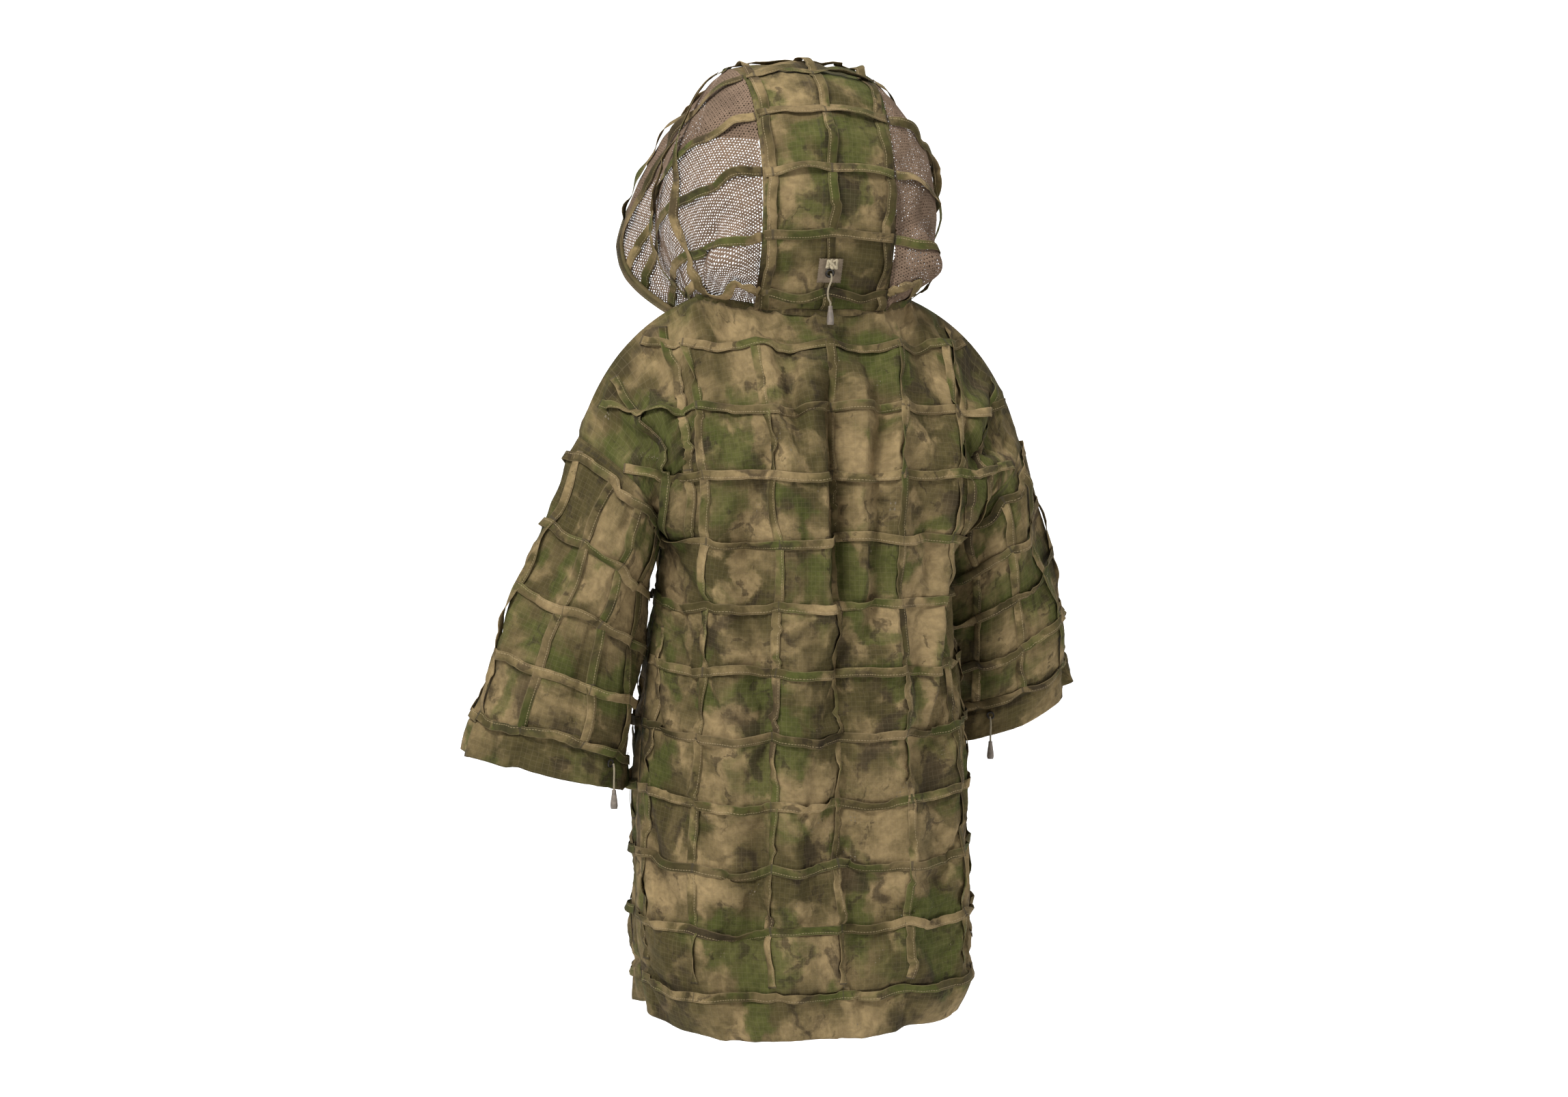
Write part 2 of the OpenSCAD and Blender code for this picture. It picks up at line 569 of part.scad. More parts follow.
back_panel();
front_panel(LEFT);  // front_panel_left
front_panel(RIGHT);  // front_panel_right
neck_facing();
hem_facing(coat_back, -0.9, 0.9, 1);  // hem_facing_back
hem_facing(coat_front, front_x + 0.04, 0.88, -1);  // hem_facing_left
hem_facing(coat_front, -0.88, -front_x - 0.04, -1);  // hem_facing_right
hanger_loop();
back_tapes_across();
back_tapes_down();
front_tapes(LEFT);  // front_tapes_left
front_tapes(RIGHT);  // front_tapes_right
shoulder_tapes(LEFT);  // shoulder_tapes_left
shoulder_tapes(RIGHT);  // shoulder_tapes_right
zip_tape(LEFT);  // zip_tape_left
zip_tape(RIGHT);  // zip_tape_right
zip_coil(LEFT);  // zip_coil_left
zip_coil(RIGHT);  // zip_coil_right
zip_top_stops();
zip_bottom_stop();
zip_guard();
zip_slider();
zip_pull();
sleeve_shell(sleeve_l, -1);  // left_sleeve
cuff_facing(sleeve_l, LEFT, -1);  // left_cuff_facing
sleeve_tapes_around(sleeve_l, LEFT, -1);  // left_sleeve_tapes_around
sleeve_tapes_down(sleeve_l, LEFT, -1);  // left_sleeve_tapes_down
cuff_eyelet(sleeve_l, -1);  // left_cuff_eyelet
cuff_cord(sleeve_l, -1);  // left_cuff_cord
cuff_cord_end(sleeve_l, -1);  // left_cuff_cord_end
sleeve_shell(sleeve_r, 1);  // right_sleeve
cuff_facing(sleeve_r, RIGHT, 1);  // right_cuff_facing
sleeve_tapes_around(sleeve_r, RIGHT, 1);  // right_sleeve_tapes_around
sleeve_tapes_down(sleeve_r, RIGHT, 1);  // right_sleeve_tapes_down
cuff_eyelet(sleeve_r, 1);  // right_cuff_eyelet
cuff_cord(sleeve_r, 1);  // right_cuff_cord
cuff_cord_end(sleeve_r, 1);  // right_cuff_cord_end
hood_panel();
hood_mesh(mesh_l, 1);  // hood_mesh_left
hood_mesh(mesh_r, -1);  // hood_mesh_right
hood_face_binding();
hood_tapes_long();
hood_tapes_cross();
hood_patch();
hood_eyelet();
hood_knot();
hood_cord();
hood_cord_end();
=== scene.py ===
"""Hooded camouflage base coat with attachment netting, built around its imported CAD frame."""
import json
import math

import bpy
import numpy as np
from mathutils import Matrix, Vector


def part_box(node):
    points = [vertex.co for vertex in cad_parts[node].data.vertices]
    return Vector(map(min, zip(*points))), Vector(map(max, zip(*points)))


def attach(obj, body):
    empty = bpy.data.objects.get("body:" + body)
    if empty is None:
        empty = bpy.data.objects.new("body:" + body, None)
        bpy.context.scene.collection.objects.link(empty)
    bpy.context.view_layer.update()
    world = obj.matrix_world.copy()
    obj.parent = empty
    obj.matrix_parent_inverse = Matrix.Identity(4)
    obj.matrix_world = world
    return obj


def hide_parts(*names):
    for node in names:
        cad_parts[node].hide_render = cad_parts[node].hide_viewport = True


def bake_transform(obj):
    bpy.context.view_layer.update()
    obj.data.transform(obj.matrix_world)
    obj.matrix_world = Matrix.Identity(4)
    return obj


bl_info = {
    "name": "Ghillie coat",
    "version": (1, 0, 0),
    "blender": (4, 5, 0),
    "location": "3D View > Sidebar > Ghillie coat",
    "description": "Builds a hooded camouflage coat with netting tapes, mesh hood sides, zip and cords",
    "category": "Add Mesh",
}

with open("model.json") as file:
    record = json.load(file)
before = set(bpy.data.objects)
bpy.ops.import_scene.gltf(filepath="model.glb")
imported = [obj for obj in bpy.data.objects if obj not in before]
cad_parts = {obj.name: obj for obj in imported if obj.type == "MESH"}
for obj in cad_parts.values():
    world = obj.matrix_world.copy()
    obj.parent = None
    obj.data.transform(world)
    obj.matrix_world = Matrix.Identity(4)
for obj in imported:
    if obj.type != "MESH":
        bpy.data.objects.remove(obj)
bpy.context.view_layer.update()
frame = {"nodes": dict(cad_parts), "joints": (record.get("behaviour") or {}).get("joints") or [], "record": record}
JOINTS = {joint["name"]: joint for joint in frame["joints"]}
MOUNTS = {mount["name"]: mount for mount in frame["record"]["mounts"]}
BACK, FRONT = 1, -1
LEFT, RIGHT = 1, -1
NECK_SHARE = 0.5   # share of the top edge that is neck seam
YOKE_SHARE = 0.34  # share of the height above the underarm
ZIP_EDGE = 0.012   # half the gap between the two fronts, in metres

# The cords repeat the routes of the CAD source, in metres.
HOOD_CORD = np.array([
    [0, 104, 44], [0, 107, 41], [1, 108, 35], [4, 108, 28], [5, 107, 21],
    [4, 106, 14], [1, 105, 9], [1, 105, 5]]) / 1000
CUFF_CORD = np.array([
    [0, 0, 0], [0, 2, -3], [0, 3, -8], [0, 3, -14], [0, 2, -20], [0, 2, -26], [0, 2, -32]]) / 1000


# ---------------------------------------------------------------- sizes and colours

class GhillieSizes(bpy.types.PropertyGroup):
    """Sizes of the coat that its CAD boxes don't give."""
    chest_half: bpy.props.FloatProperty(
        name="Chest half width", description="Half width at the underarms", default=0.186, unit="LENGTH")
    chest_back: bpy.props.FloatProperty(
        name="Back depth", description="Depth of the back at the chest", default=0.135, unit="LENGTH")
    hem_half: bpy.props.FloatProperty(
        name="Hem half width", description="Half width at the hem", default=0.222, unit="LENGTH")
    hem_back: bpy.props.FloatProperty(
        name="Hem back depth", description="Depth of the back at the hem", default=0.150, unit="LENGTH")
    hem_front: bpy.props.FloatProperty(
        name="Hem front depth", description="Depth of the front at the hem", default=0.205, unit="LENGTH")
    hem_side_rise: bpy.props.FloatProperty(
        name="Hem side rise", description="Rise of the hem at the side seams", default=0.020, unit="LENGTH")
    hem_band: bpy.props.FloatProperty(
        name="Hem band", description="Depth of the turned hem", default=0.055, unit="LENGTH")
    cuff_band: bpy.props.FloatProperty(
        name="Cuff band", description="Depth of the turned cuff", default=0.042, unit="LENGTH")
    neck_half: bpy.props.FloatProperty(
        name="Neck half width", description="Half width of the neck seam", default=0.138, unit="LENGTH")
    neck_back: bpy.props.FloatProperty(
        name="Neck back", description="Depth of the neck seam behind the shoulders", default=0.075,
        unit="LENGTH")
    neck_front: bpy.props.FloatProperty(
        name="Neck front", description="Depth of the neck seam in front", default=0.118, unit="LENGTH")
    neck_rise: bpy.props.FloatProperty(
        name="Neck rise", description="Rise of the neck seam at the sides", default=0.020, unit="LENGTH")
    neck_drop: bpy.props.FloatProperty(
        name="Neck drop", description="Drop of the neck seam in front", default=0.030, unit="LENGTH")
    armhole_depth: bpy.props.FloatProperty(
        name="Armhole depth", description="Fullness of the sleeve seam", default=0.088, unit="LENGTH")
    tape_w: bpy.props.FloatProperty(
        name="Tape width", description="Width of a netting tape", default=0.012, unit="LENGTH")
    tape_t: bpy.props.FloatProperty(
        name="Tape thickness", description="Thickness of a folded tape", default=0.0008, unit="LENGTH")
    row_pitch: bpy.props.FloatProperty(
        name="Row pitch", description="Distance between rows of tape", default=0.0797, unit="LENGTH")
    first_row: bpy.props.FloatProperty(
        name="First row", description="Drop from the neck to the first row", default=0.033, unit="LENGTH")
    cloth_t: bpy.props.FloatProperty(
        name="Cloth thickness", description="Thickness of the shell cloth", default=0.0008, unit="LENGTH")
    mesh_pitch: bpy.props.FloatProperty(
        name="Mesh pitch", description="Distance between the holes of the hood mesh", default=0.0040,
        unit="LENGTH")


def colour(name, about, value):
    """A colour property with its default as linear red, green and blue."""
    return bpy.props.FloatVectorProperty(
        name=name, description=about, default=value, subtype="COLOR", size=3, min=0.0, max=1.0)


class GhillieColours(bpy.types.PropertyGroup):
    """Colours of the print, the tapes and the trim, in linear light."""
    ground: colour("Ground", "Olive brown ground of the print", (0.052, 0.041, 0.015))
    tan: colour("Tan", "Lightest blotches of the print", (0.208, 0.149, 0.072))
    green: colour("Green", "Green blotches of the print", (0.050, 0.056, 0.013))
    dark: colour("Dark", "Dark brown blotches of the print", (0.027, 0.019, 0.011))
    mesh: colour("Mesh", "Knitted hood mesh", (0.150, 0.102, 0.070))
    trim: colour("Trim", "Webbing and zip tape", (0.135, 0.102, 0.068))
    elastic: colour("Elastic", "Elastic cord and tape", (0.340, 0.285, 0.190))
    plastic: colour("Plastic", "Cord ends and zip pull", (0.125, 0.102, 0.080))
    metal: colour("Metal", "Coated eyelets and slider", (0.040, 0.036, 0.032))


SIZES, COLOURS = None, None


# ---------------------------------------------------------------- curves and surfaces

def vec(*parts):
    """Joins coordinates, each a number or an array, into points."""
    return np.stack(np.broadcast_arrays(*[np.asarray(p, float) for p in parts]), -1)


def unit(v):
    """Vectors divided by their own length."""
    return v / np.maximum(np.linalg.norm(v, axis=-1, keepdims=True), 1e-12)


def smooth(t):
    """3t^2 - 2t^3, held at 0 and 1 outside."""
    t = np.clip(t, 0, 1)
    return t * t * (3 - 2 * t)


def bend(a, m, b, t):
    """Quadratic curve (1-t)^2 a + 2t(1-t) m + t^2 b."""
    t = np.asarray(t)[..., None]
    return (1 - t) ** 2 * a + 2 * t * (1 - t) * m + t * t * b


def through(points, t):
    """Smooth cubic curve through the points, t from 0 to 1."""
    p = np.asarray(points, float)
    n = len(p) - 1
    x = np.clip(np.asarray(t, float), 0, 1) * n
    i = np.minimum(x.astype(int), n - 1)
    f = (x - i)[..., None]
    b, c = p[i], p[i + 1]
    a = np.where((i == 0)[..., None], 2 * b - c, p[np.maximum(i - 1, 0)])
    d = np.where((i == n - 1)[..., None], 2 * c - b, p[np.minimum(i + 2, n)])
    return 0.5 * (2 * b + (c - a) * f + (2 * a - 5 * b + 4 * c - d) * f**2 + (3 * b - a - 3 * c + d) * f**3)


def hem_z():
    """Height of the hem's folded edge."""
    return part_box("back_panel")[0][2] + 0.0012


def seam_top():
    """The top of the left sleeve's seam, where the sleeve turns."""
    return JOINTS["left_sleeve_raise"]["pos_m"]


def underarm_z():
    """Height of the underarm."""
    return seam_top()[2] - 0.12


def chest_z():
    """Height of the chest ring."""
    return underarm_z() - 0.025


def front_y(z):
    """The straight line of the front edge: it leans forward from the neck to the hem."""
    s = SIZES
    lean = (s.hem_front - s.neck_front) / (-hem_z() - s.neck_drop)
    return -(s.neck_front + lean * (-s.neck_drop - z))


def top_edge(u, face):
    """Half the neck seam as an arc of an ellipse, then the shoulder as a quadratic curve to the sleeve
    seam."""
    s = SIZES
    a = np.abs(u)
    turn = np.clip(a / NECK_SHARE, 0, 1) * math.pi / 2
    y = s.neck_back * np.cos(turn) if face == BACK else -s.neck_front * np.cos(turn)
    z = s.neck_rise * np.sin(turn) ** 2 - (0 if face == BACK else s.neck_drop) * np.cos(turn)
    top = seam_top()
    ridge = bend(np.array([s.neck_half, 0, s.neck_rise]), np.array([top[0] - 0.037, 0, -0.026]),
                 np.array([top[0], 0, top[2]]), np.clip((a - NECK_SHARE) / (1 - NECK_SHARE), 0, 1))
    edge = np.where((a < NECK_SHARE)[..., None], vec(s.neck_half * np.sin(turn), y, z), ridge)
    return edge * vec(np.sign(u) + (u == 0), 1, 1)


def arm_bend(u, face):
    """The middle of the curve from the top edge to the chest ring, further out near the sleeve."""
    s, top = SIZES, seam_top()
    x, z = (top[0] + s.chest_half) / 2, (top[2] + underarm_z()) / 2
    z0 = -0.030 if face == BACK else -0.080
    y0 = s.chest_back if face == BACK else -front_y(z0)
    return vec(x * np.sin(u * math.pi / 2), face * (y0 + (2 * s.armhole_depth - y0) * u * u),
               z0 + (z - z0) * np.abs(u) ** 3)


def body_ring(u, face, half, depth, z, side_z):
    """Half a ring: x = half sin(90u), y = depth cos(90u)^0.8, and z runs to side_z at the side seams."""
    return vec(half * np.sin(u * math.pi / 2), face * depth * np.maximum(np.cos(u * math.pi / 2), 0) ** 0.8,
               z + (side_z - z) * u * u)


def chest_ring(u, face):
    """The coat's ring at the chest."""
    depth = SIZES.chest_back if face == BACK else -front_y(chest_z())
    return body_ring(u, face, SIZES.chest_half, depth, chest_z(), underarm_z())


def hem_ring(u, face):
    """The coat's ring at the hem."""
    depth = SIZES.hem_back if face == BACK else SIZES.hem_front
    return body_ring(u, face, SIZES.hem_half, depth, hem_z(), hem_z() + SIZES.hem_side_rise)


def coat_base(u, t, face):
    """The coat as the CAD has it: a quadratic curve from the top edge to the chest ring, then straight to the
    hem."""
    u, t = np.broadcast_arrays(np.asarray(u, float), np.asarray(t, float))
    upper = bend(top_edge(u, face), arm_bend(u, face), chest_ring(u, face), np.clip(t / YOKE_SHARE, 0, 1))
    r = np.clip((t - YOKE_SHARE) / (1 - YOKE_SHARE), 0, 1)
    lower = chest_ring(u, face) + (hem_ring(u, face) - chest_ring(u, face)) * r[..., None]
    side = np.sin(u * math.pi / 2)
    lower[..., 0] += (0.012 * np.sin(math.pi * r) - 0.020 * np.clip((r - 0.8) / 0.2, 0, 1) ** 2) * side
    return np.where((t < YOKE_SHARE)[..., None], upper, lower)


def level(u, z, face):
    """The t at which the coat passes height z: the root of the quadratic above the chest, a straight share
    below."""
    u, z = np.broadcast_arrays(np.asarray(u, float), np.asarray(z, float))
    a, m = top_edge(u, face)[..., 2], arm_bend(u, face)[..., 2]
    b, c = chest_ring(u, face)[..., 2], hem_ring(u, face)[..., 2]
    q2, q1, q0 = a - 2 * m + b, 2 * (m - a), a - z
    root = np.sqrt(np.maximum(q1 * q1 - 4 * q2 * q0, 0))
    safe = np.where(np.abs(q2) < 1e-9, 1, q2)
    upper = np.where(np.abs(q2) < 1e-9, -q0 / q1, (-q1 - root) / (2 * safe))
    lower = YOKE_SHARE + (1 - YOKE_SHARE) * np.clip((z - b) / (c - b), 0, 1)
    return np.where(z >= a, 0, np.where(z < b, lower, YOKE_SHARE * np.clip(upper, 0, 1)))


def row_end(z):
    """How far across the coat a row at height z runs before the shoulder seam."""
    u = np.linspace(NECK_SHARE, 1, 200)
    inside = top_edge(u, BACK)[:, 2] > z + 0.004
    return float(u[inside][-1]) if inside.any() else NECK_SHARE


def hood_line(v):
    """Profile of the hood from the nape over the crown to the brow, as y and z."""
    top, bulge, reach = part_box("hood_panel")[1][2] - 0.001, 0.110, 0.170
    return through([[SIZES.neck_back + 0.003, 0], [bulge, 0.29 * top], [bulge - 0.002, 0.6 * top],
                    [0.55 * bulge, 0.89 * top], [-0.020, top], [-0.65 * reach, 0.935 * top],
                    [-reach, 0.75 * top]], v)


def hood_base(u, v):
    """The hood's middle panel: its profile at each v, curved back by 12 u^2 mm and down by 10 u^2 sin(180v)
    mm."""
    u, v = np.broadcast_arrays(np.asarray(u, float), np.asarray(v, float))
    p = hood_line(v)
    return vec(0.086 * u, p[..., 0] - 0.012 * u * u,
               p[..., 1] - 0.010 * u * u * np.sin(math.pi * np.clip(v, 0, 1)))


def hood_side_base(v, w, hand):
    """A side of the hood: a quadratic curve from the panel's edge, out round the head, to the neck seam."""
    s = SIZES
    v, w = np.broadcast_arrays(np.asarray(v, float), np.asarray(w, float))
    turn = np.radians(38 + 120 * v)
    foot = vec(s.neck_half * np.sin(turn), np.where(turn < math.pi / 2, s.neck_back,
                                                    s.neck_front) * np.cos(turn),
               s.neck_rise * np.sin(turn) ** 2 + np.where(turn > math.pi / 2, s.neck_drop, 0) * np.cos(turn))
    full = through([[0.100, 0.100, 0.030], [0.170, 0.120, 0.070], [0.205, 0.090, 0.120],
                    [0.215, 0.020, 0.170],
                    [0.240, -0.070, 0.155], [0.275, -0.140, 0.120], [0.310, -0.200, 0.050]], v)
    return bend(hood_base(np.ones_like(v), v), full, foot, w) * [hand, 1, 1]


class Cloth:
    """A sheet known at a grid of points. It gives the place and outward direction at any share of the
    grid."""

    def __init__(self, points, turn):
        """Keeps the grid and which of its sides faces out, 1 or -1."""
        self.points, self.turn = points, turn
        self.normals = self.face_out()

    def face_out(self):
        """Outward directions: the cross product of the grid's two ways."""
        along = np.gradient(self.points, axis=0)
        down = np.gradient(self.points, axis=1)
        return unit(np.cross(along, down)) * self.turn

    def pushed(self, depth):
        """The same sheet moved outwards by depth at each point."""
        return Cloth(self.points + self.normals * np.asarray(depth)[..., None], self.turn)

    def at(self, a, b, field=None):
        """Points, or another field, at shares a and b of the grid, by linear steps between its points."""
        grid = self.points if field is None else field
        x = np.clip(np.asarray(a, float), 0, 1) * (grid.shape[0] - 1)
        y = np.clip(np.asarray(b, float), 0, 1) * (grid.shape[1] - 1)
        i, j = np.minimum(x.astype(int), grid.shape[0] - 2), np.minimum(y.astype(int), grid.shape[1] - 2)
        fx, fy = (x - i)[..., None], (y - j)[..., None]
        return ((1 - fx) * (1 - fy) * grid[i, j] + fx * (1 - fy) * grid[i + 1, j]
                + (1 - fx) * fy * grid[i, j + 1] + fx * fy * grid[i + 1, j + 1])

    def out(self, a, b):
        """Outward directions at shares a and b of the grid."""
        return unit(self.at(a, b, self.normals))

    def flat(self):
        """Cloth coordinates in metres: distance along each way at the middle of the other."""
        across = np.linalg.norm(np.diff(self.points, axis=0), axis=2).mean(1)
        down = np.linalg.norm(np.diff(self.points, axis=1), axis=2)[self.points.shape[0] // 2]
        x, y = np.concatenate([[0], np.cumsum(across)]), np.concatenate([[0], np.cumsum(down)])
        return np.meshgrid(x, y, indexing="ij")


def lattice_noise(x, y, seed):
    """Value noise in two dimensions: random heights on a whole-number lattice, joined by smooth steps, -1 to
    1."""
    table = np.random.default_rng(seed).random((64, 64)) * 2 - 1
    i, j = np.floor(x).astype(int), np.floor(y).astype(int)
    fx, fy = smooth(x - i), smooth(y - j)
    pick = lambda p, q: table[p % 64, q % 64]
    return ((1 - fx) * (1 - fy) * pick(i, j) + fx * (1 - fy) * pick(i + 1, j)
            + (1 - fx) * fy * pick(i, j + 1) + fx * fy * pick(i + 1, j + 1))


def creases(x, y, seed, size, stretch=1.0):
    """Soft ridges: 1 - |noise| at three sizes, drawn out along y by stretch, from about -1 to 1."""
    total = np.zeros(np.broadcast(x, y).shape)
    for k, share in ((1, 0.55), (2.1, 0.30), (4.3, 0.15)):
        total += share * (1 - 2.6 * np.abs(lattice_noise(x * k / size + seed, y * k / (size * stretch),
                                                         seed + int(k))))
    return total


def fold(x, y, start, end, width, height):
    """A fold along a line: height exp(-(d/width)^2), d the distance from the line, fading out past its
    ends."""
    a, b = np.array(start, float), np.array(end, float)
    d = b - a
    along = ((x - a[0]) * d[0] + (y - a[1]) * d[1]) / (d @ d)
    away = np.hypot(x - a[0] - np.clip(along, 0, 1) * d[0], (y - a[1] - np.clip(along, 0, 1) * d[1]))
    return height * np.exp(-(away / width) ** 2) * smooth((along + 0.15) / 0.3) * smooth((1.15 - along) / 0.3)


# ---------------------------------------------------------------- meshes

def new_object(name, points, faces, uv=None, attributes=(), smooth_shaded=True):
    """A mesh object from points and faces, with cloth coordinates and named values at its points."""
    name = name.replace(" ", "_")
    mesh = bpy.data.meshes.new(name)
    mesh.from_pydata(points.reshape(-1, 3).tolist(), [], faces.tolist())
    if uv is not None:
        layer = mesh.uv_layers.new(name="cloth")
        loops = np.empty(len(mesh.loops), int)
        mesh.loops.foreach_get("vertex_index", loops)
        layer.data.foreach_set("uv", uv.reshape(-1, 2)[loops].astype(np.float32).ravel())
    for key, values in dict(attributes).items():
        mesh.attributes.new(key, "FLOAT", "POINT").data.foreach_set(
            "value", np.asarray(values, np.float32).ravel())
    mesh.polygons.foreach_set("use_smooth", np.full(len(mesh.polygons), smooth_shaded))
    mesh.update()
    obj = bpy.data.objects.new(name, mesh)
    bpy.context.scene.collection.objects.link(obj)
    return obj


def grid_faces(rows, cols, wrap=False):
    """Quads of a rows x cols grid of points."""
    i, j = np.meshgrid(np.arange(rows if wrap else rows - 1), np.arange(cols - 1), indexing="ij")
    k = (i + 1) % rows
    return np.stack([i * cols + j, k * cols + j, k * cols + j + 1, i * cols + j + 1], -1).reshape(-1, 4)


def sheet_mesh(name, cloth, uv=None, attributes=(), thickness=None, wrap=False):
    """A sheet with two faces and closed edges: the outer grid, the same grid moved in, and a rim between
    them."""
    rows, cols = cloth.points.shape[:2]
    thick = SIZES.cloth_t if thickness is None else thickness
    faces = grid_faces(rows, cols, wrap)
    if cloth.turn < 0:
        faces = faces[:, ::-1]
    count = rows * cols
    rim = []
    edges = [(np.arange(rows - (not wrap)), 0, 1), (np.arange(rows - (not wrap)), cols - 1, 0)]
    for i, j, flip in edges:
        a, b = i * cols + j, (i + 1) % rows * cols + j
        quad = np.stack([b, a, a + count, b + count], -1)
        rim.append(quad if (flip == 1) == (cloth.turn > 0) else quad[:, ::-1])
    if not wrap:
        for row, flip in ((0, 0), (rows - 1, 1)):
            j = np.arange(cols - 1)
            a, b = row * cols + j, row * cols + j + 1
            quad = np.stack([b, a, a + count, b + count], -1)
            rim.append(quad if (flip == 1) == (cloth.turn > 0) else quad[:, ::-1])
    inner = cloth.points - cloth.normals * thick
    points = np.concatenate([cloth.points.reshape(-1, 3), inner.reshape(-1, 3)])
    both = lambda values: np.concatenate([np.asarray(values).reshape(count, -1)] * 2)
    if uv is None:
        uv = np.stack(cloth.flat(), -1)
    inside = np.concatenate([np.zeros(count), np.ones(count)])
    held = {key: both(values) for key, values in dict(attributes).items()}
    return new_object(name, points, np.concatenate([faces, faces[:, ::-1] + count, *rim]),
                      both(uv), {**held, "inside": inside})


def tape_strip(cloth, path, tacks, rng, lift=0.0008, slack=0.005, sag=0.004, step=0.005, width=None):
    """One netting tape laid on a cloth along the grid shares in path. Between tacks it stands off the cloth
    by slack sin(pi f), hangs sideways by sag sin(pi f) and twists a little, f being the share of the way to
    the next."""
    width = width or SIZES.tape_w
    path = np.asarray(path, float)
    rough = cloth.at(path[:, 0], path[:, 1])
    run = np.concatenate([[0], np.cumsum(np.linalg.norm(np.diff(rough, axis=0), axis=1))])
    count = max(6, int(run[-1] / step) + 1)
    where = np.linspace(0, run[-1], count)
    a, b = np.interp(where, run, path[:, 0]), np.interp(where, run, path[:, 1])
    normal = cloth.out(a, b)
    centre = cloth.at(a, b)
    knots = np.interp(np.clip(tacks, 0, 1), np.linspace(0, 1, len(run)), run)
    knots = np.unique(np.concatenate([[0], knots, [run[-1]]]))
    knots = knots[np.concatenate([[True], np.diff(knots) > 0.02])]
    k = np.clip(np.searchsorted(knots, where, side="right") - 1, 0, len(knots) - 2)
    f = np.clip((where - knots[k]) / (knots[k + 1] - knots[k]), 0, 1)
    arch = np.sin(math.pi * f)
    stand = rng.uniform(0.25, 1.0, len(knots))[k] * slack
    drop = rng.normal(0.35, 0.6, len(knots))[k] * sag
    turn = rng.normal(0, 0.30, len(knots))[k] * arch
    along = unit(np.gradient(centre, axis=0))
    side = unit(np.cross(normal, along))
    down = np.sign(side @ np.array([0, 0, -1.0]))[:, None]
    centre = centre + normal * (lift + stand * arch ** 1.3)[:, None] + side * down * (drop * arch)[:, None]
    along = unit(np.gradient(centre, axis=0))
    side = unit(np.cross(normal, along))
    normal = unit(np.cross(along, side))
    across = side * np.cos(turn)[:, None] + normal * np.sin(turn)[:, None]
    above = normal * np.cos(turn)[:, None] - side * np.sin(turn)[:, None]
    near = np.min(np.abs(where[:, None] - knots[None]), axis=1)
    return strip(centre, across, above, width, where, near, rng.uniform(0, 40))


TAPE_PROFILE = np.array([[-0.5, 0.0], [-0.47, 0.5], [0.0, 0.36], [0.47, 0.5], [0.5, 0.0], [0.47, -0.5],
                         [-0.47, -0.5]])


def strip(centre, across, above, width, where, near, tint, thickness=None):
    """Carries the tape's flat profile along a line and returns its points, faces, cloth coordinates and
    attributes."""
    thick = SIZES.tape_t if thickness is None else thickness
    n, sides = len(centre), len(TAPE_PROFILE)
    points = (centre[:, None] + across[:, None] * (TAPE_PROFILE[None, :, :1] * width)
              + above[:, None] * (TAPE_PROFILE[None, :, 1:] * thick))
    i, j = np.meshgrid(np.arange(n - 1), np.arange(sides), indexing="ij")
    k = (j + 1) % sides
    faces = np.stack([i * sides + j, i * sides + k, (i + 1) * sides + k, (i + 1) * sides + j],
                     -1).reshape(-1, 4)
    uv = np.stack(np.broadcast_arrays(where[:, None] + tint, TAPE_PROFILE[None, :, 0] * width + tint * 0.7),
                  -1)
    edge = np.broadcast_to(TAPE_PROFILE[None, :, 0], (n, sides))
    return {"points": points.reshape(-1, 3), "faces": faces, "caps": (n, sides), "uv": uv.reshape(-1, 2),
            "edge": edge.reshape(-1), "tack": np.repeat(near, sides), "along": np.repeat(where, sides),
            "shade": np.full(n * sides, (tint * 7.31) % 1.0)}


def join_strips(name, strips):
    """One object from many strips, each closed at its two ends."""
    points, faces, offset = [], [], 0
    for part in strips:
        n, sides = part["caps"]
        quads = part["faces"] + offset
        first, last = offset, offset + (n - 1) * sides
        caps = [[first + 0, first + 6, first + 1], [first + 1, first + 6, first + 5],
                [first + 1, first + 5, first + 2],
                [first + 2, first + 5, first + 3], [first + 3, first + 5, first + 4]]
        ends = [[q - first + last for q in face][::-1] for face in caps]
        faces += quads.tolist() + caps + ends
        points.append(part["points"])
        offset += len(part["points"])
    joined = {key: np.concatenate([part[key] for part in strips]) for key in ("uv", "edge", "tack", "along",
                                                                              "shade")}
    mesh_faces = np.empty(len(faces), object)
    mesh_faces[:] = faces
    obj = new_object(name, np.concatenate(points), mesh_faces, joined["uv"],
                     {key: joined[key] for key in ("edge", "tack", "along", "shade")})
    return obj


# ---------------------------------------------------------------- materials

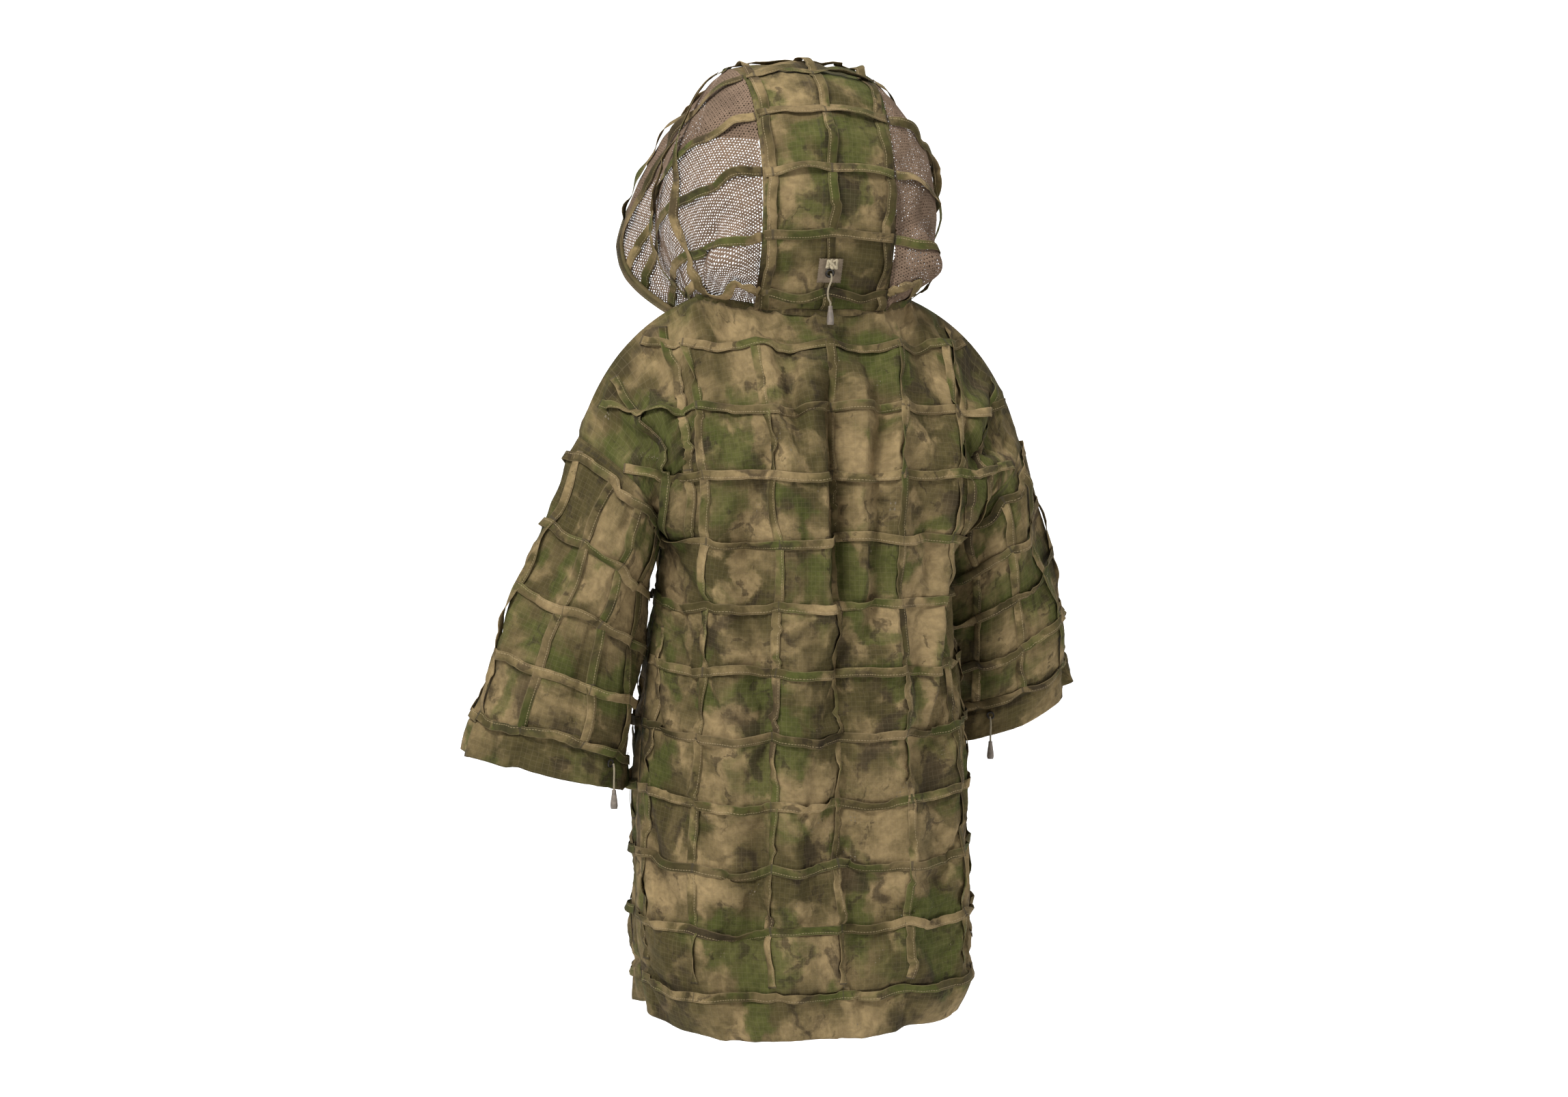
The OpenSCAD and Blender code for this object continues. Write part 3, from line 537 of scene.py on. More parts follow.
class Paint:
    """Builds one node material step by step. Each method adds a node and gives back its output."""

    def __init__(self, name):
        """Starts an empty node material."""
        self.material = bpy.data.materials.new(name)
        self.material.use_nodes = True
        self.tree = self.material.node_tree
        self.body = self.tree.nodes["Principled BSDF"]

    def add(self, kind, inputs=(), **settings):
        """Adds a node and fills its inputs with links or values."""
        node = self.tree.nodes.new(kind)
        for key, value in settings.items():
            setattr(node, key, value)
        for key, value in dict(inputs).items():
            if isinstance(value, bpy.types.NodeSocket):
                self.tree.links.new(value, node.inputs[key])
            else:
                node.inputs[key].default_value = value
        return node

    def coords(self, scale=(1, 1, 1), cloth=True):
        """The cloth's own flat coordinates, or the object's."""
        source = self.add("ShaderNodeTexCoord").outputs["UV" if cloth else "Object"]
        return self.add("ShaderNodeMapping", {"Vector": source, "Scale": scale}).outputs[0]

    def value(self, name):
        """A named value stored at the points."""
        return self.add("ShaderNodeAttribute", attribute_name=name).outputs["Fac"]

    def noise(self, where, scale, detail=2.0, distortion=0.0, rough=0.5):
        """Smooth noise from 0 to 1."""
        return self.add("ShaderNodeTexNoise", {"Vector": where, "Scale": scale, "Detail": detail,
                                               "Distortion": distortion, "Roughness": rough}).outputs["Fac"]

    def math(self, kind, a, b=0.0):
        """One sum on two values."""
        return self.add("ShaderNodeMath", {0: a, 1: b}, operation=kind).outputs[0]

    def band(self, value, low, high, to_low=0.0, to_high=1.0):
        """A soft step: to_low below low, to_high above high."""
        return self.add("ShaderNodeMapRange", {"Value": value, "From Min": low, "From Max": high,
                                               "To Min": to_low,
                                               "To Max": to_high}, interpolation_type="SMOOTHSTEP").outputs[0]

    def mix(self, share, a, b, kind="MIX"):
        """Mixes two colours by a share."""
        colour_of = lambda c: c if isinstance(c, bpy.types.NodeSocket) else (*c, 1.0)
        node = self.add("ShaderNodeMix", data_type="RGBA", blend_type=kind)
        for index, item in ((0, share), (6, colour_of(a)), (7, colour_of(b))):
            if isinstance(item, bpy.types.NodeSocket):
                self.tree.links.new(item, node.inputs[index])
            else:
                node.inputs[index].default_value = item
        return node.outputs[2]

    def bump(self, height, distance, under=None):
        """Turns a height into a shading direction, over an earlier one if given."""
        inputs = {"Height": height, "Distance": distance, "Strength": 1.0}
        if under is not None:
            inputs["Normal"] = under
        return self.add("ShaderNodeBump", inputs).outputs[0]

    def finish(self, colour, rough=0.9, normal=None, metallic=0.0, specular=0.3):
        """Ends the material in one surface shader."""
        for key, item in (("Base Color", colour), ("Roughness", rough), ("Metallic", metallic),
                          ("Specular IOR Level", specular), ("Normal", normal)):
            if item is None:
                continue
            if isinstance(item, bpy.types.NodeSocket):
                self.tree.links.new(item, self.body.inputs[key])
            else:
                self.body.inputs[key].default_value = item
        return self.material


def print_colours(paint, where):
    """The camouflage print: a ground that drifts from dark olive to pale tan, with green and dark blotches
    over it whose soft edges are drawn out by a finer noise, and a fine mottle over all."""
    c = COLOURS
    shift = lambda x, y: paint.add("ShaderNodeMapping", {"Vector": drift, "Location": (x, y, 0.0)}).outputs[0]
    colour_noise = paint.add("ShaderNodeTexNoise",
                             {"Vector": where, "Scale": 38.0, "Detail": 4.0, "Roughness": 0.6})
    drift = paint.mix(0.030, where, colour_noise.outputs["Color"])
    light = paint.band(paint.noise(drift, 7.5, 3, 0.4, 0.5), 0.40, 0.66)
    shade = paint.mix(light, c.ground, c.tan)
    shade = paint.mix(paint.band(paint.noise(shift(5.2, 1.3), 19, 3, 0.5), 0.50, 0.70, 0.0, 0.75), shade,
                      tuple(1.12 * x for x in c.tan))
    shade = paint.mix(paint.band(paint.noise(shift(3.1, 7.7), 10.5, 3, 0.6), 0.50, 0.62, 0.0, 0.85), shade,
                      c.green)
    shade = paint.mix(paint.band(paint.noise(shift(9.4, 2.2), 15, 4, 0.8, 0.55), 0.55, 0.66, 0.0, 0.72),
                      shade, c.dark)
    shade = paint.mix(paint.band(paint.noise(shift(6.6, 4.9), 34, 3, 0.8, 0.55), 0.60, 0.68, 0.0, 0.6), shade,
                      tuple(0.8 * x for x in c.dark))
    mottle = paint.band(paint.noise(where, 90, 4, 0.4, 0.65), 0.30, 0.70, 0.80, 1.20)
    return paint.mix(1.0, shade, paint.add("ShaderNodeCombineColor", {0: mottle, 1: mottle, 2: mottle})
                     .outputs[0], "MULTIPLY")


def ripstop(paint, where):
    """Thin lines every 6 mm both ways, as a height from 0 to 1."""
    split = paint.add("ShaderNodeSeparateXYZ", {"Vector": where})
    lines = [paint.band(paint.math("PINGPONG", split.outputs[k], 0.003), 0.0026, 0.0029) for k in (0, 1)]
    return paint.math("MAXIMUM", lines[0], lines[1])


def stitch_line(paint, across, along, place, width=0.0005, length=0.0034):
    """Dashes along a line at the given place across the piece, as a mask."""
    line = paint.band(paint.math("ABSOLUTE", paint.math("SUBTRACT", across, place)), 0.45 * width, width, 1,
                      0)
    dash = paint.band(paint.math("FRACT", paint.math("DIVIDE", along, length)), 0.66, 0.74, 1, 0)
    return paint.math("MULTIPLY", line, dash)


def cloth_material(name, inside=(0.145, 0.118, 0.080)):
    """Printed ripstop cloth. The side that faces in is the paler, unprinted back of the weave."""
    paint = Paint(name)
    where = paint.coords()
    print_on = print_colours(paint, where)
    grid = ripstop(paint, where)
    face = paint.mix(paint.math("MULTIPLY", grid, 0.10), print_on, (0.30, 0.24, 0.15))
    back = paint.mix(paint.math("MULTIPLY", back_mottle(paint, where), 0.5), inside, (0.10, 0.085, 0.055))
    shade = paint.mix(paint.value("inside"), face, back)
    seam = paint.math("MINIMUM", paint.value("stitch"), 1.0)
    shade = paint.mix(paint.math("MULTIPLY", seam, 0.55), shade, (0.032, 0.026, 0.018))
    weave = paint.noise(where, 1800, 2, 0, 0.6)
    normal = paint.bump(weave, 0.00025)
    normal = paint.bump(grid, 0.00012, normal)
    normal = paint.bump(paint.noise(where, 60, 4, 0.5), 0.0016, normal)
    return paint.finish(shade, 0.92, normal, specular=0.12)


def back_mottle(paint, where):
    """How strongly the paler back of the cloth is stained, from a soft noise."""
    return paint.band(paint.noise(where, 16, 3, 0.5), 0.45, 0.62)


def tape_material(name):
    """Folded cloth tape: each length has its own tint, a painted highlight along its folded edges, a line of
    stitches and dark bar tacks.
    """
    paint = Paint(name)
    where = paint.coords()
    tint = paint.band(paint.value("shade"), 0.0, 1.0, 0.72, 1.12)
    shade = paint.mix(1.0, print_colours(paint, where),
                      paint.add("ShaderNodeCombineColor", {0: tint, 1: tint, 2: tint}).outputs[0], "MULTIPLY")
    edge = paint.value("edge")
    # Painted highlight: the folded edges of the tape are mixed towards pale tan as if they caught the light; the
    # same edge mask raises the folds in the bump below.
    fold_ridge_and_highlight = paint.band(paint.math("ABSOLUTE", edge), 0.36, 0.48)
    shade = paint.mix(paint.math("MULTIPLY", fold_ridge_and_highlight, 0.20), shade, (0.27, 0.20, 0.11))
    stitch = stitch_line(paint, edge, paint.value("along"), 0.27, 0.06)
    shade = paint.mix(paint.math("MULTIPLY", stitch, 0.5), shade, (0.30, 0.23, 0.13))
    tack = paint.band(paint.value("tack"), 0.0012, 0.0022, 1, 0)
    shade = paint.mix(paint.math("MULTIPLY", tack, 0.7), shade, (0.045, 0.036, 0.024))
    height = paint.math("ADD", paint.math("MULTIPLY", fold_ridge_and_highlight, 0.6), paint.math("MULTIPLY", stitch, -0.5))
    normal = paint.bump(height, 0.0005, paint.bump(paint.noise(where, 1300, 2), 0.0003))
    return paint.finish(shade, 0.92, normal, specular=0.12)


def knit_material(name, base):
    """Matt knitted threads with small changes of tone."""
    paint = Paint(name)
    where = paint.coords(cloth=False)
    tone = paint.band(paint.noise(where, 30, 3), 0.3, 0.7, 0.82, 1.15)
    fibres = paint.noise(where, 2600, 2)
    shade = paint.mix(1.0, base, paint.add("ShaderNodeCombineColor",
                                           {0: tone, 1: tone, 2: tone}).outputs[0], "MULTIPLY")
    shade = paint.mix(paint.band(fibres, 0.4, 0.7, 0.0, 0.35), shade, tuple(0.55 * x for x in base))
    return paint.finish(shade, 0.93, paint.bump(fibres, 0.0003), specular=0.1)


def webbing_material(name, base, scale=900.0):
    """Ribbed woven webbing or zip tape."""
    paint = Paint(name)
    where = paint.coords(cloth=False)
    ribs = paint.add("ShaderNodeTexWave", {"Vector": where, "Scale": scale / 3, "Distortion": 0.6,
                                           "Detail": 1.0},
                     bands_direction="Z").outputs["Fac"]
    tone = paint.noise(where, 240, 3)
    shade = paint.mix(paint.math("MULTIPLY", ribs, 0.5), base, tuple(1.7 * x for x in base))
    shade = paint.mix(paint.band(tone, 0.35, 0.7, 0.0, 0.4), shade, tuple(0.6 * x for x in base))
    return paint.finish(shade, 0.85, paint.bump(ribs, 0.0004))


def cord_material(name, base):
    """Braided elastic cord: two crossing sets of slanting strands."""
    paint = Paint(name)
    where = paint.coords(cloth=False)
    strands = [paint.add("ShaderNodeTexWave", {"Vector": paint.add(
        "ShaderNodeMapping", {"Vector": where, "Rotation": (turn, 0.4, turn)}).outputs[0], "Scale": 260.0,
        "Distortion": 0.3}).outputs["Fac"] for turn in (0.8, -0.8)]
    braid = paint.math("MULTIPLY", strands[0], strands[1])
    shade = paint.mix(braid, tuple(0.5 * x for x in base), base)
    return paint.finish(shade, 0.8, paint.bump(braid, 0.0003))


def moulded_material(name, base, rough=0.5, metallic=0.0):
    """Moulded plastic or coated metal with faint wear and a grain."""
    paint = Paint(name)
    where = paint.coords(cloth=False)
    wear = paint.noise(where, 190, 4, 0.4)
    shade = paint.mix(paint.band(wear, 0.42, 0.68), tuple(0.85 * x for x in base),
                      tuple(1.3 * x for x in base))
    roughness = paint.band(wear, 0.3, 0.7, rough - 0.08, rough + 0.12)
    return paint.finish(shade, roughness, paint.bump(paint.noise(where, 1500, 2), 0.0001), metallic, 0.5)


MATERIALS = {}


def make_materials():
    """Makes every material once."""
    c = COLOURS
    MATERIALS.update(
        cloth=cloth_material("printed_ripstop"), lining=cloth_material("printed_ripstop_facing"),
        tape=tape_material("netting_tape"), mesh=knit_material("knitted_hood_mesh", tuple(c.mesh)),
        webbing=webbing_material("brown_webbing", tuple(c.trim)),
        zip_tape=webbing_material("zip_tape", tuple(c.trim)),
        coil=moulded_material("zip_coil_nylon", (0.055, 0.044, 0.032), 0.45),
        cord=cord_material("elastic_cord", tuple(c.elastic)),
        elastic=webbing_material("flat_elastic", tuple(c.elastic)),
        plastic=moulded_material("cord_end_plastic", tuple(c.plastic), 0.55),
        metal=moulded_material("coated_metal", tuple(c.metal), 0.38, 0.85),
        floor=floor_material())


def floor_material():
    """Plain pale paper that glows a little, so that the ground stays even."""
    paint = Paint("studio_floor")
    grain = paint.band(paint.noise(paint.coords(cloth=False), 3, 3), 0.3, 0.7)
    shade = paint.mix(grain, (0.86, 0.86, 0.86), (0.89, 0.89, 0.89))
    paint.tree.links.new(shade, paint.body.inputs["Emission Color"])
    paint.body.inputs["Emission Strength"].default_value = 0.60
    return paint.finish(shade, 0.95)


def dress(obj, material):
    """Gives an object one of the materials."""
    obj.data.materials.append(MATERIALS[material])
    return obj


# ---------------------------------------------------------------- camera and cords

def set_camera():
    """Stands behind the wearer's left shoulder, level with the chest, and looks slightly down."""
    azimuth, pitch = math.radians(18), math.atan(200 / 3380)
    data = bpy.data.cameras.new("camera")
    data.lens, data.sensor_width = 60.84, 36
    camera = bpy.data.objects.new("camera", data)
    bpy.context.scene.collection.objects.link(camera)
    camera.location = (0.026 + 3.35 * math.sin(azimuth), 3.35 * math.cos(azimuth), -0.10)
    look = Vector((-math.sin(azimuth) * math.cos(pitch), -math.cos(azimuth) * math.cos(pitch),
                   -math.sin(pitch)))
    camera.rotation_euler = look.to_track_quat("-Z", "Y").to_euler()
    bpy.context.scene.camera = camera


def cord_object(name, points, node, body):
    """An elastic cord as one open curve along the points, riding with the body of the plastic end that hangs on
    it.
    """
    line = through(points, np.linspace(0, 1, 33))
    name = name.replace(" ", "_")
    curve = bpy.data.curves.new(name, "CURVE")
    curve.dimensions, curve.bevel_depth, curve.bevel_resolution, curve.use_fill_caps = "3D", 0.0012, 4, True
    spline = curve.splines.new("POLY")
    spline.points.add(len(line) - 1)
    spline.points.foreach_set("co", np.hstack([line, np.ones((len(line), 1))]).ravel())
    cord = bpy.data.objects.new(name, curve)
    bpy.context.scene.collection.objects.link(cord)
    dress(cord, "cord")
    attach(cord, body)
    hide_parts(node)


class OBJECT_OT_ghillie_cords(bpy.types.Operator):
    """Hangs the elastic cords of the hood and the cuffs"""
    bl_idname = "object.ghillie_cords"
    bl_label = "Cords"

    def execute(self, context):
        """Lays the hood cord and a cord at each cuff, each with its cord end."""
        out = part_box("hood_cord")[1][1] - 0.0012 - HOOD_CORD[:, 1].max()
        cord_object("Hood cord", HOOD_CORD + [0, out, 0], "hood_cord", "hood_toggle")
        for side in ("left", "right"):
            start = np.array(JOINTS[f"{side}_cuff_toggle_swing"]["pos_m"])
            cord_object(f"{side.title()} cuff cord", start + CUFF_CORD, f"{side}_cuff_cord",
                        f"{side}_cuff_toggle")
        return {"FINISHED"}


# ---------------------------------------------------------------- cloth

def settle(cloth, pinned, slack, frames=16, wrap=False, bending=0.04):
    """Lets a sheet settle under its own weight: a cloth simulation in which the sheet is a little too large
    for its seams and tacks, so that it buckles between them. pinned says for each grid point how firmly it is
    held."""
    rows, cols = cloth.points.shape[:2]
    obj = new_object("settling", cloth.points, grid_faces(rows, cols, wrap))
    group = obj.vertex_groups.new(name="held")
    held = np.asarray(pinned).ravel()
    for weight in (0.35, 1.0):
        group.add(np.nonzero(np.isclose(held, weight))[0].tolist(), weight, "REPLACE")
    modifier = obj.modifiers.new("cloth", "CLOTH")
    s = modifier.settings
    s.vertex_group_mass, s.quality, s.mass, s.air_damping = "held", 5, 0.12, 3.0
    s.tension_stiffness = s.compression_stiffness = 12.0
    s.shear_stiffness, s.bending_stiffness = 4.0, bending
    s.pin_stiffness, s.shrink_min, s.shrink_max = 6.0, -slack, -slack
    modifier.collision_settings.use_collision = False
    scene = bpy.context.scene
    first = scene.frame_current
    modifier.point_cache.frame_start, modifier.point_cache.frame_end = 1, frames
    for frame_number in range(1, frames + 1):
        scene.frame_set(frame_number)
    settled = obj.evaluated_get(bpy.context.evaluated_depsgraph_get()).data
    points = np.empty(rows * cols * 3)
    settled.vertices.foreach_get("co", points)
    scene.frame_set(first)
    bpy.data.objects.remove(obj)
    return points.reshape(rows, cols, 3)


def steps(low, high, count):
    """Evenly spaced values from low to high."""
    return np.linspace(low, high, count)


class Garment:
    """The surfaces that the pieces are made on, by name."""
    back = front_left = front_right = None
    sleeves, hood, sides = {}, None, {}


COLUMNS = [math.asin(k * 0.075 / 0.192) / (math.pi / 2) for k in range(-2, 3)]


def row_heights():
    """Heights of the eleven rows of netting, from the neck down."""
    s = SIZES
    return [-s.first_row - k * s.row_pitch for k in range(11)]


def seam_fade(u, t, margin=0.05):
    """0 at the side seams and the top edge, 1 a little inside them."""
    return smooth((1 - np.abs(u)) / margin) * smooth(t / 0.03)


def back_folds(u, t, base):
    """Long folds that fall from the shoulders and the middle tapes, shallow puckers between rows and fine
    creases."""
    x, z = base[..., 0], base[..., 2]
    total = np.zeros_like(x)
    for start, end, width, height in (
            ((0.034, -0.05), (0.016, -0.40), 0.015, 0.019), ((0.004, -0.07), (0.000, -0.36), 0.011, -0.017),
            ((0.080, -0.04), (0.052, -0.46), 0.020, 0.015), ((-0.030, -0.06), (-0.022, -0.38), 0.013, 0.014),
            ((-0.085, -0.05), (-0.056, -0.44), 0.020, 0.015),
            ((-0.060, -0.10), (-0.048, -0.40), 0.012, -0.010),
            ((0.150, -0.14), (0.118, -0.52), 0.020, 0.014), ((-0.160, -0.14), (-0.112, -0.50), 0.020, 0.014),
            ((0.118, -0.22), (0.090, -0.55), 0.014, -0.011),
            ((-0.130, -0.22), (-0.095, -0.56), 0.014, -0.011),
            ((0.050, -0.44), (0.072, -0.87), 0.024, 0.013), ((-0.070, -0.40), (-0.112, -0.87), 0.026, 0.014),
            ((0.000, -0.40), (-0.026, -0.85), 0.016, -0.013), ((0.130, -0.52), (0.168, -0.88), 0.020, 0.012),
            ((-0.150, -0.50), (-0.172, -0.86), 0.020, 0.012), ((0.100, -0.60), (0.120, -0.88), 0.013, -0.010),
            ((0.225, -0.09), (0.180, -0.27), 0.017, 0.013), ((-0.225, -0.09), (-0.180, -0.27), 0.017, 0.013)):
        total += fold(x, z, start, end, width, 1.25 * height)
    pucker = np.zeros_like(x)
    for height in row_heights():
        pucker += 0.0024 * np.exp(-((z - height + 0.012) / 0.012) ** 2)
    total += pucker * lattice_noise(x / 0.045, z / 0.06, 5)
    total += 0.0050 * creases(x, z, 11, 0.10, 2.2) + 0.0016 * creases(x + 0.3 * z, z, 23, 0.035, 1.4)
    return total * seam_fade(u, t)


def plain_folds(seed):
    """Folds for a front panel: long drapes and fine creases, flat at its seams."""
    def folds(u, t, base):
        """The push outwards at each point of the panel."""
        x, z = base[..., 0], base[..., 2]
        drape = 0.006 * creases(x, z, seed, 0.12, 3.0) + 0.0014 * creases(x + 0.25 * z, z, seed + 4, 0.04,
                                                                          1.5)
        return drape * seam_fade(u, t)
    return folds


def tacked(u, t, face):
    """Where the netting is sewn down: 1 on the seams, 0.35 at each crossing of the tapes, 0 elsewhere."""
    held = np.zeros_like(u)
    du, dt = 0.03, 0.007
    for height in row_heights():
        for column in COLUMNS + [-0.88, 0.88]:
            there = level(np.array(column), np.array(height), face)
            held[(np.abs(u - column) < du * 0.5) & (np.abs(t - there) < dt)] = 0.35
    held[np.abs(u) > 0.985] = 1.0
    held[t < 0.008] = 1.0
    return held


def coat_sheet(face, low, high, folds):
    """One panel of the coat between two shares of its width: drawn, folded, then settled between its
    tacks."""
    turn = 1 if face == BACK else -1
    count = 161 if face == BACK else 91
    u, t = np.meshgrid(steps(low, high, count), steps(0, 1, 181), indexing="ij")
    base = Cloth(coat_base(u, t, face), turn)
    sheet = base.pushed(folds(u, t, base.points))
    coarse = Cloth(sheet.points[::2, ::2], turn)
    held = tacked(u[::2, ::2], t[::2, ::2], face)
    if face == FRONT:
        held[0 if low > -0.5 else -1] = 1.0
    moved = settle(coarse, held, 0.030) - coarse.points
    a, b = np.meshgrid(steps(0, 1, count), steps(0, 1, 181), indexing="ij")
    sheet = Cloth(sheet.points + coarse.at(a, b, moved), turn)
    return sheet


def stitches(distance, along, width=0.0011, length=0.0034):
    """A line of stitches as a mask on the cloth: near zero distance, in dashes along the way."""
    return smooth(1.6 - np.abs(distance) / width) * (np.mod(along, length) < 0.7 * length)


def declare_sheet(cloth):
    """Works out a cut piece's run lengths across and down and the edges of its grid, and keeps none of them."""
    across = np.linalg.norm(np.diff(cloth.points, axis=0), axis=2).sum(0)
    down = np.linalg.norm(np.diff(cloth.points, axis=1), axis=2).sum(1)
    a, b = np.diff(cloth.points, axis=0)[:, :-1], np.diff(cloth.points, axis=1)[:-1]


class OBJECT_OT_ghillie_coat(bpy.types.Operator):
    """Cuts the back and the two fronts, folds them and lets them settle"""
    bl_idname = "object.ghillie_coat"
    bl_label = "Coat panels"

    def execute(self, context):
        """Makes the back across its full width, then each front from the zip to the side seam."""
        edge = math.asin(ZIP_EDGE / SIZES.chest_half) / (math.pi / 2)
        Garment.back = coat_sheet(BACK, -1, 1, back_folds)
        self.piece("Back panel", Garment.back, ["back_panel"], (0.0, 0.0))
        Garment.front_left = coat_sheet(FRONT, edge, 1, plain_folds(31))
        self.piece("Left front", Garment.front_left, ["front_panel_left"], (2.3, 0.4))
        Garment.front_right = coat_sheet(FRONT, -1, -edge, plain_folds(47))
        self.piece("Right front", Garment.front_right, ["front_panel_right"], (4.1, 1.7))
        return {"FINISHED"}

    def piece(self, name, cloth, nodes, shift):
        """Turns and stitches one panel."""
        x, y = cloth.flat()
        hem = y.max() - y
        band = SIZES.hem_band
        line = np.maximum(stitches(hem - band, x), stitches(y - 0.006, x))
        cloth = cloth.pushed(-0.0022 * np.exp(-((hem - band) / 0.004) ** 2)
                             + 0.0020 * smooth((band - hem) / 0.01) * (1 + lattice_noise(x / 0.02, y / 0.03,
                                                                                         8)))
        obj = sheet_mesh(name, cloth, np.stack([x + shift[0], y + shift[1]], -1), {"stitch": line})
        dress(obj, "cloth")
        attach(obj, "coat")
        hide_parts(*nodes)
        declare_sheet(cloth)


# Half width, tilt and lean of each cuff's ellipse, its half depth, and how far a sleeve bulges outwards.
CUFF_SHAPES = {LEFT: (0.109, math.radians(14), 0.0), RIGHT: (0.096, math.radians(24), math.radians(-7))}
CUFF_DEPTH = 0.085
SLEEVE_BULGE = 0.012


def sleeve_base(p, v, hand):
    """From the coat's sleeve seam straight to the cuff's ellipse, with a bulge of sin(180v) outwards."""
    s = SIZES
    p, v = np.broadcast_arrays(np.asarray(p, float), np.asarray(v, float))
    r = p - np.floor(p)
    seam = np.where((r <= 0.5)[..., None], coat_base(np.ones_like(r), YOKE_SHARE * np.clip(2 * r, 0, 1),
                                                     BACK),
                    coat_base(np.ones_like(r), YOKE_SHARE * np.clip(2 - 2 * r, 0, 1), FRONT)) * [hand, 1, 1]
    left = hand == LEFT
    mid = np.array(MOUNTS["left_cuff_opening" if left else "right_cuff_opening"]["pos_m"])
    half, tilt, lean = CUFF_SHAPES[hand]
    turn = 2 * math.pi * r
    cuff = mid + (half * np.cos(turn))[..., None] * [hand * math.cos(tilt), 0, math.sin(tilt)] \
        + (CUFF_DEPTH * np.sin(turn))[..., None] * [0, math.cos(lean), math.sin(lean)]
    return seam + (cuff - seam) * v[..., None] + vec(hand * SLEEVE_BULGE * np.sin(math.pi * v), 0, 0)


def sleeve_folds(p, v, hand):
    """Diagonal drag folds from the underarm, a soft collapse above the cuff and fine creases."""
    around = 2 * math.pi * p
    x, y = np.cos(around), np.sin(around)
    total = 0.007 * np.sin(2 * math.pi * (1.6 * v + 1.1 * np.abs(((p + 0.25) % 1) - 0.5) * 2)) \
        * smooth(v / 0.2)
    total += 0.006 * creases(p * 3.0, v * 0.35, 61 + hand, 0.55, 0.35) \
        + 0.002 * creases(p * 6, v * 1.0, 71 + hand, 0.5, 0.25)
    total += 0.004 * lattice_noise(x * 2 + 5, v * 5 + y, 77 + hand)
    return total * smooth(v / 0.07)


def blend_sleeve(obj, hand):
    """Bakes the sleeve piece's placement into its points."""
    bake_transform(obj)


def cuff_share(hand):
    """The share of the sleeve's length at which the turned cuff starts."""
    mid = MOUNTS["left_cuff_opening" if hand == LEFT else "right_cuff_opening"]["pos_m"]
    return 1 - SIZES.cuff_band / (underarm_z() - mid[2] + 0.06)


class OBJECT_OT_ghillie_sleeves(bpy.types.Operator):
    """Makes the two dropped sleeves as folded tubes with turned cuffs"""
    bl_idname = "object.ghillie_sleeves"
    bl_label = "Sleeves"

    def execute(self, context):
        """Draws each sleeve as a ring of cloth, folds it, lets it settle and turns its cuff."""
        for hand, side in ((LEFT, "left"), (RIGHT, "right")):
            p, v = np.meshgrid(steps(0, 1, 145)[:-1], steps(0, 1, 121), indexing="ij")
            turn = -1 if hand == LEFT else 1
            base = RingCloth(sleeve_base(p, v, hand), turn)
            sheet = base.pushed(sleeve_folds(p, v, hand))
            coarse = RingCloth(sheet.points[::2, ::2], turn)
            pc, vc = p[::2, ::2], v[::2, ::2]
            held = np.zeros_like(pc)
            for k in range(8):
                for row in steps(0.05, cuff_share(hand) - 0.01, 5):
                    near = np.abs((pc - (k / 8 + 0.03) + 0.5) % 1 - 0.5) < 0.011
                    held[near & (np.abs(vc - row) < 0.013)] = 0.35
            held[vc < 0.01] = 1.0
            moved = settle(coarse, held, 0.022, wrap=True) - coarse.points
            sheet = RingCloth(sheet.points + coarse.at(p, v, moved), turn)
            Garment.sleeves[hand] = sheet
            x, y = sheet.flat()
            band = y.max() - y
            line = np.maximum(stitches(band - SIZES.cuff_band, x), stitches(y - 0.006, x))
            sheet = sheet.pushed(0.0016 * smooth((SIZES.cuff_band - band) / 0.008)
                                 - 0.0022 * np.exp(-((band - SIZES.cuff_band) / 0.004) ** 2))
            obj = sheet_mesh(f"{side.title()} sleeve", sheet, np.stack([x + 6.2 * hand, y + 0.9], -1),
                             {"stitch": line}, wrap=True)
            dress(obj, "cloth")
            blend_sleeve(obj, hand)
            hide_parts(f"{side}_sleeve", f"{side}_cuff_facing")
            declare_sheet(Cloth(np.concatenate([sheet.points, sheet.points[:1]]), turn))
        return {"FINISHED"}


class RingCloth(Cloth):
    """A sheet closed on itself along its first way."""

    def face_out(self):
        """Outward directions: the cross product of the grid's two ways."""
        along = np.roll(self.points, -1, axis=0) - np.roll(self.points, 1, axis=0)
        return unit(np.cross(along, np.gradient(self.points, axis=1))) * self.turn

    def pushed(self, depth):
        """The same sheet moved outwards by a depth at each point."""
        return RingCloth(self.points + self.normals * np.asarray(depth)[..., None], self.turn)

    def at(self, a, b, field=None):
        """Points, or another field, at shares a and b of the grid, by linear steps between its points."""
        grid = self.points if field is None else field
        ring = np.concatenate([grid, grid[:1]])
        return Cloth.at(self, np.mod(np.asarray(a, float), 1.0), b, ring)

    def flat(self):
        """Coordinates of the cloth laid flat, from its run lengths."""
        across = np.linalg.norm(self.points - np.roll(self.points, 1, axis=0), axis=2).mean(1)
        down = np.linalg.norm(np.diff(self.points, axis=1), axis=2)[len(self.points) // 4]
        return np.meshgrid(np.cumsum(across), np.concatenate([[0], np.cumsum(down)]), indexing="ij")


# ---------------------------------------------------------------- hood

HOOD_ROWS = [0.04, 0.17, 0.31, 0.43, 0.56, 0.69, 0.83]
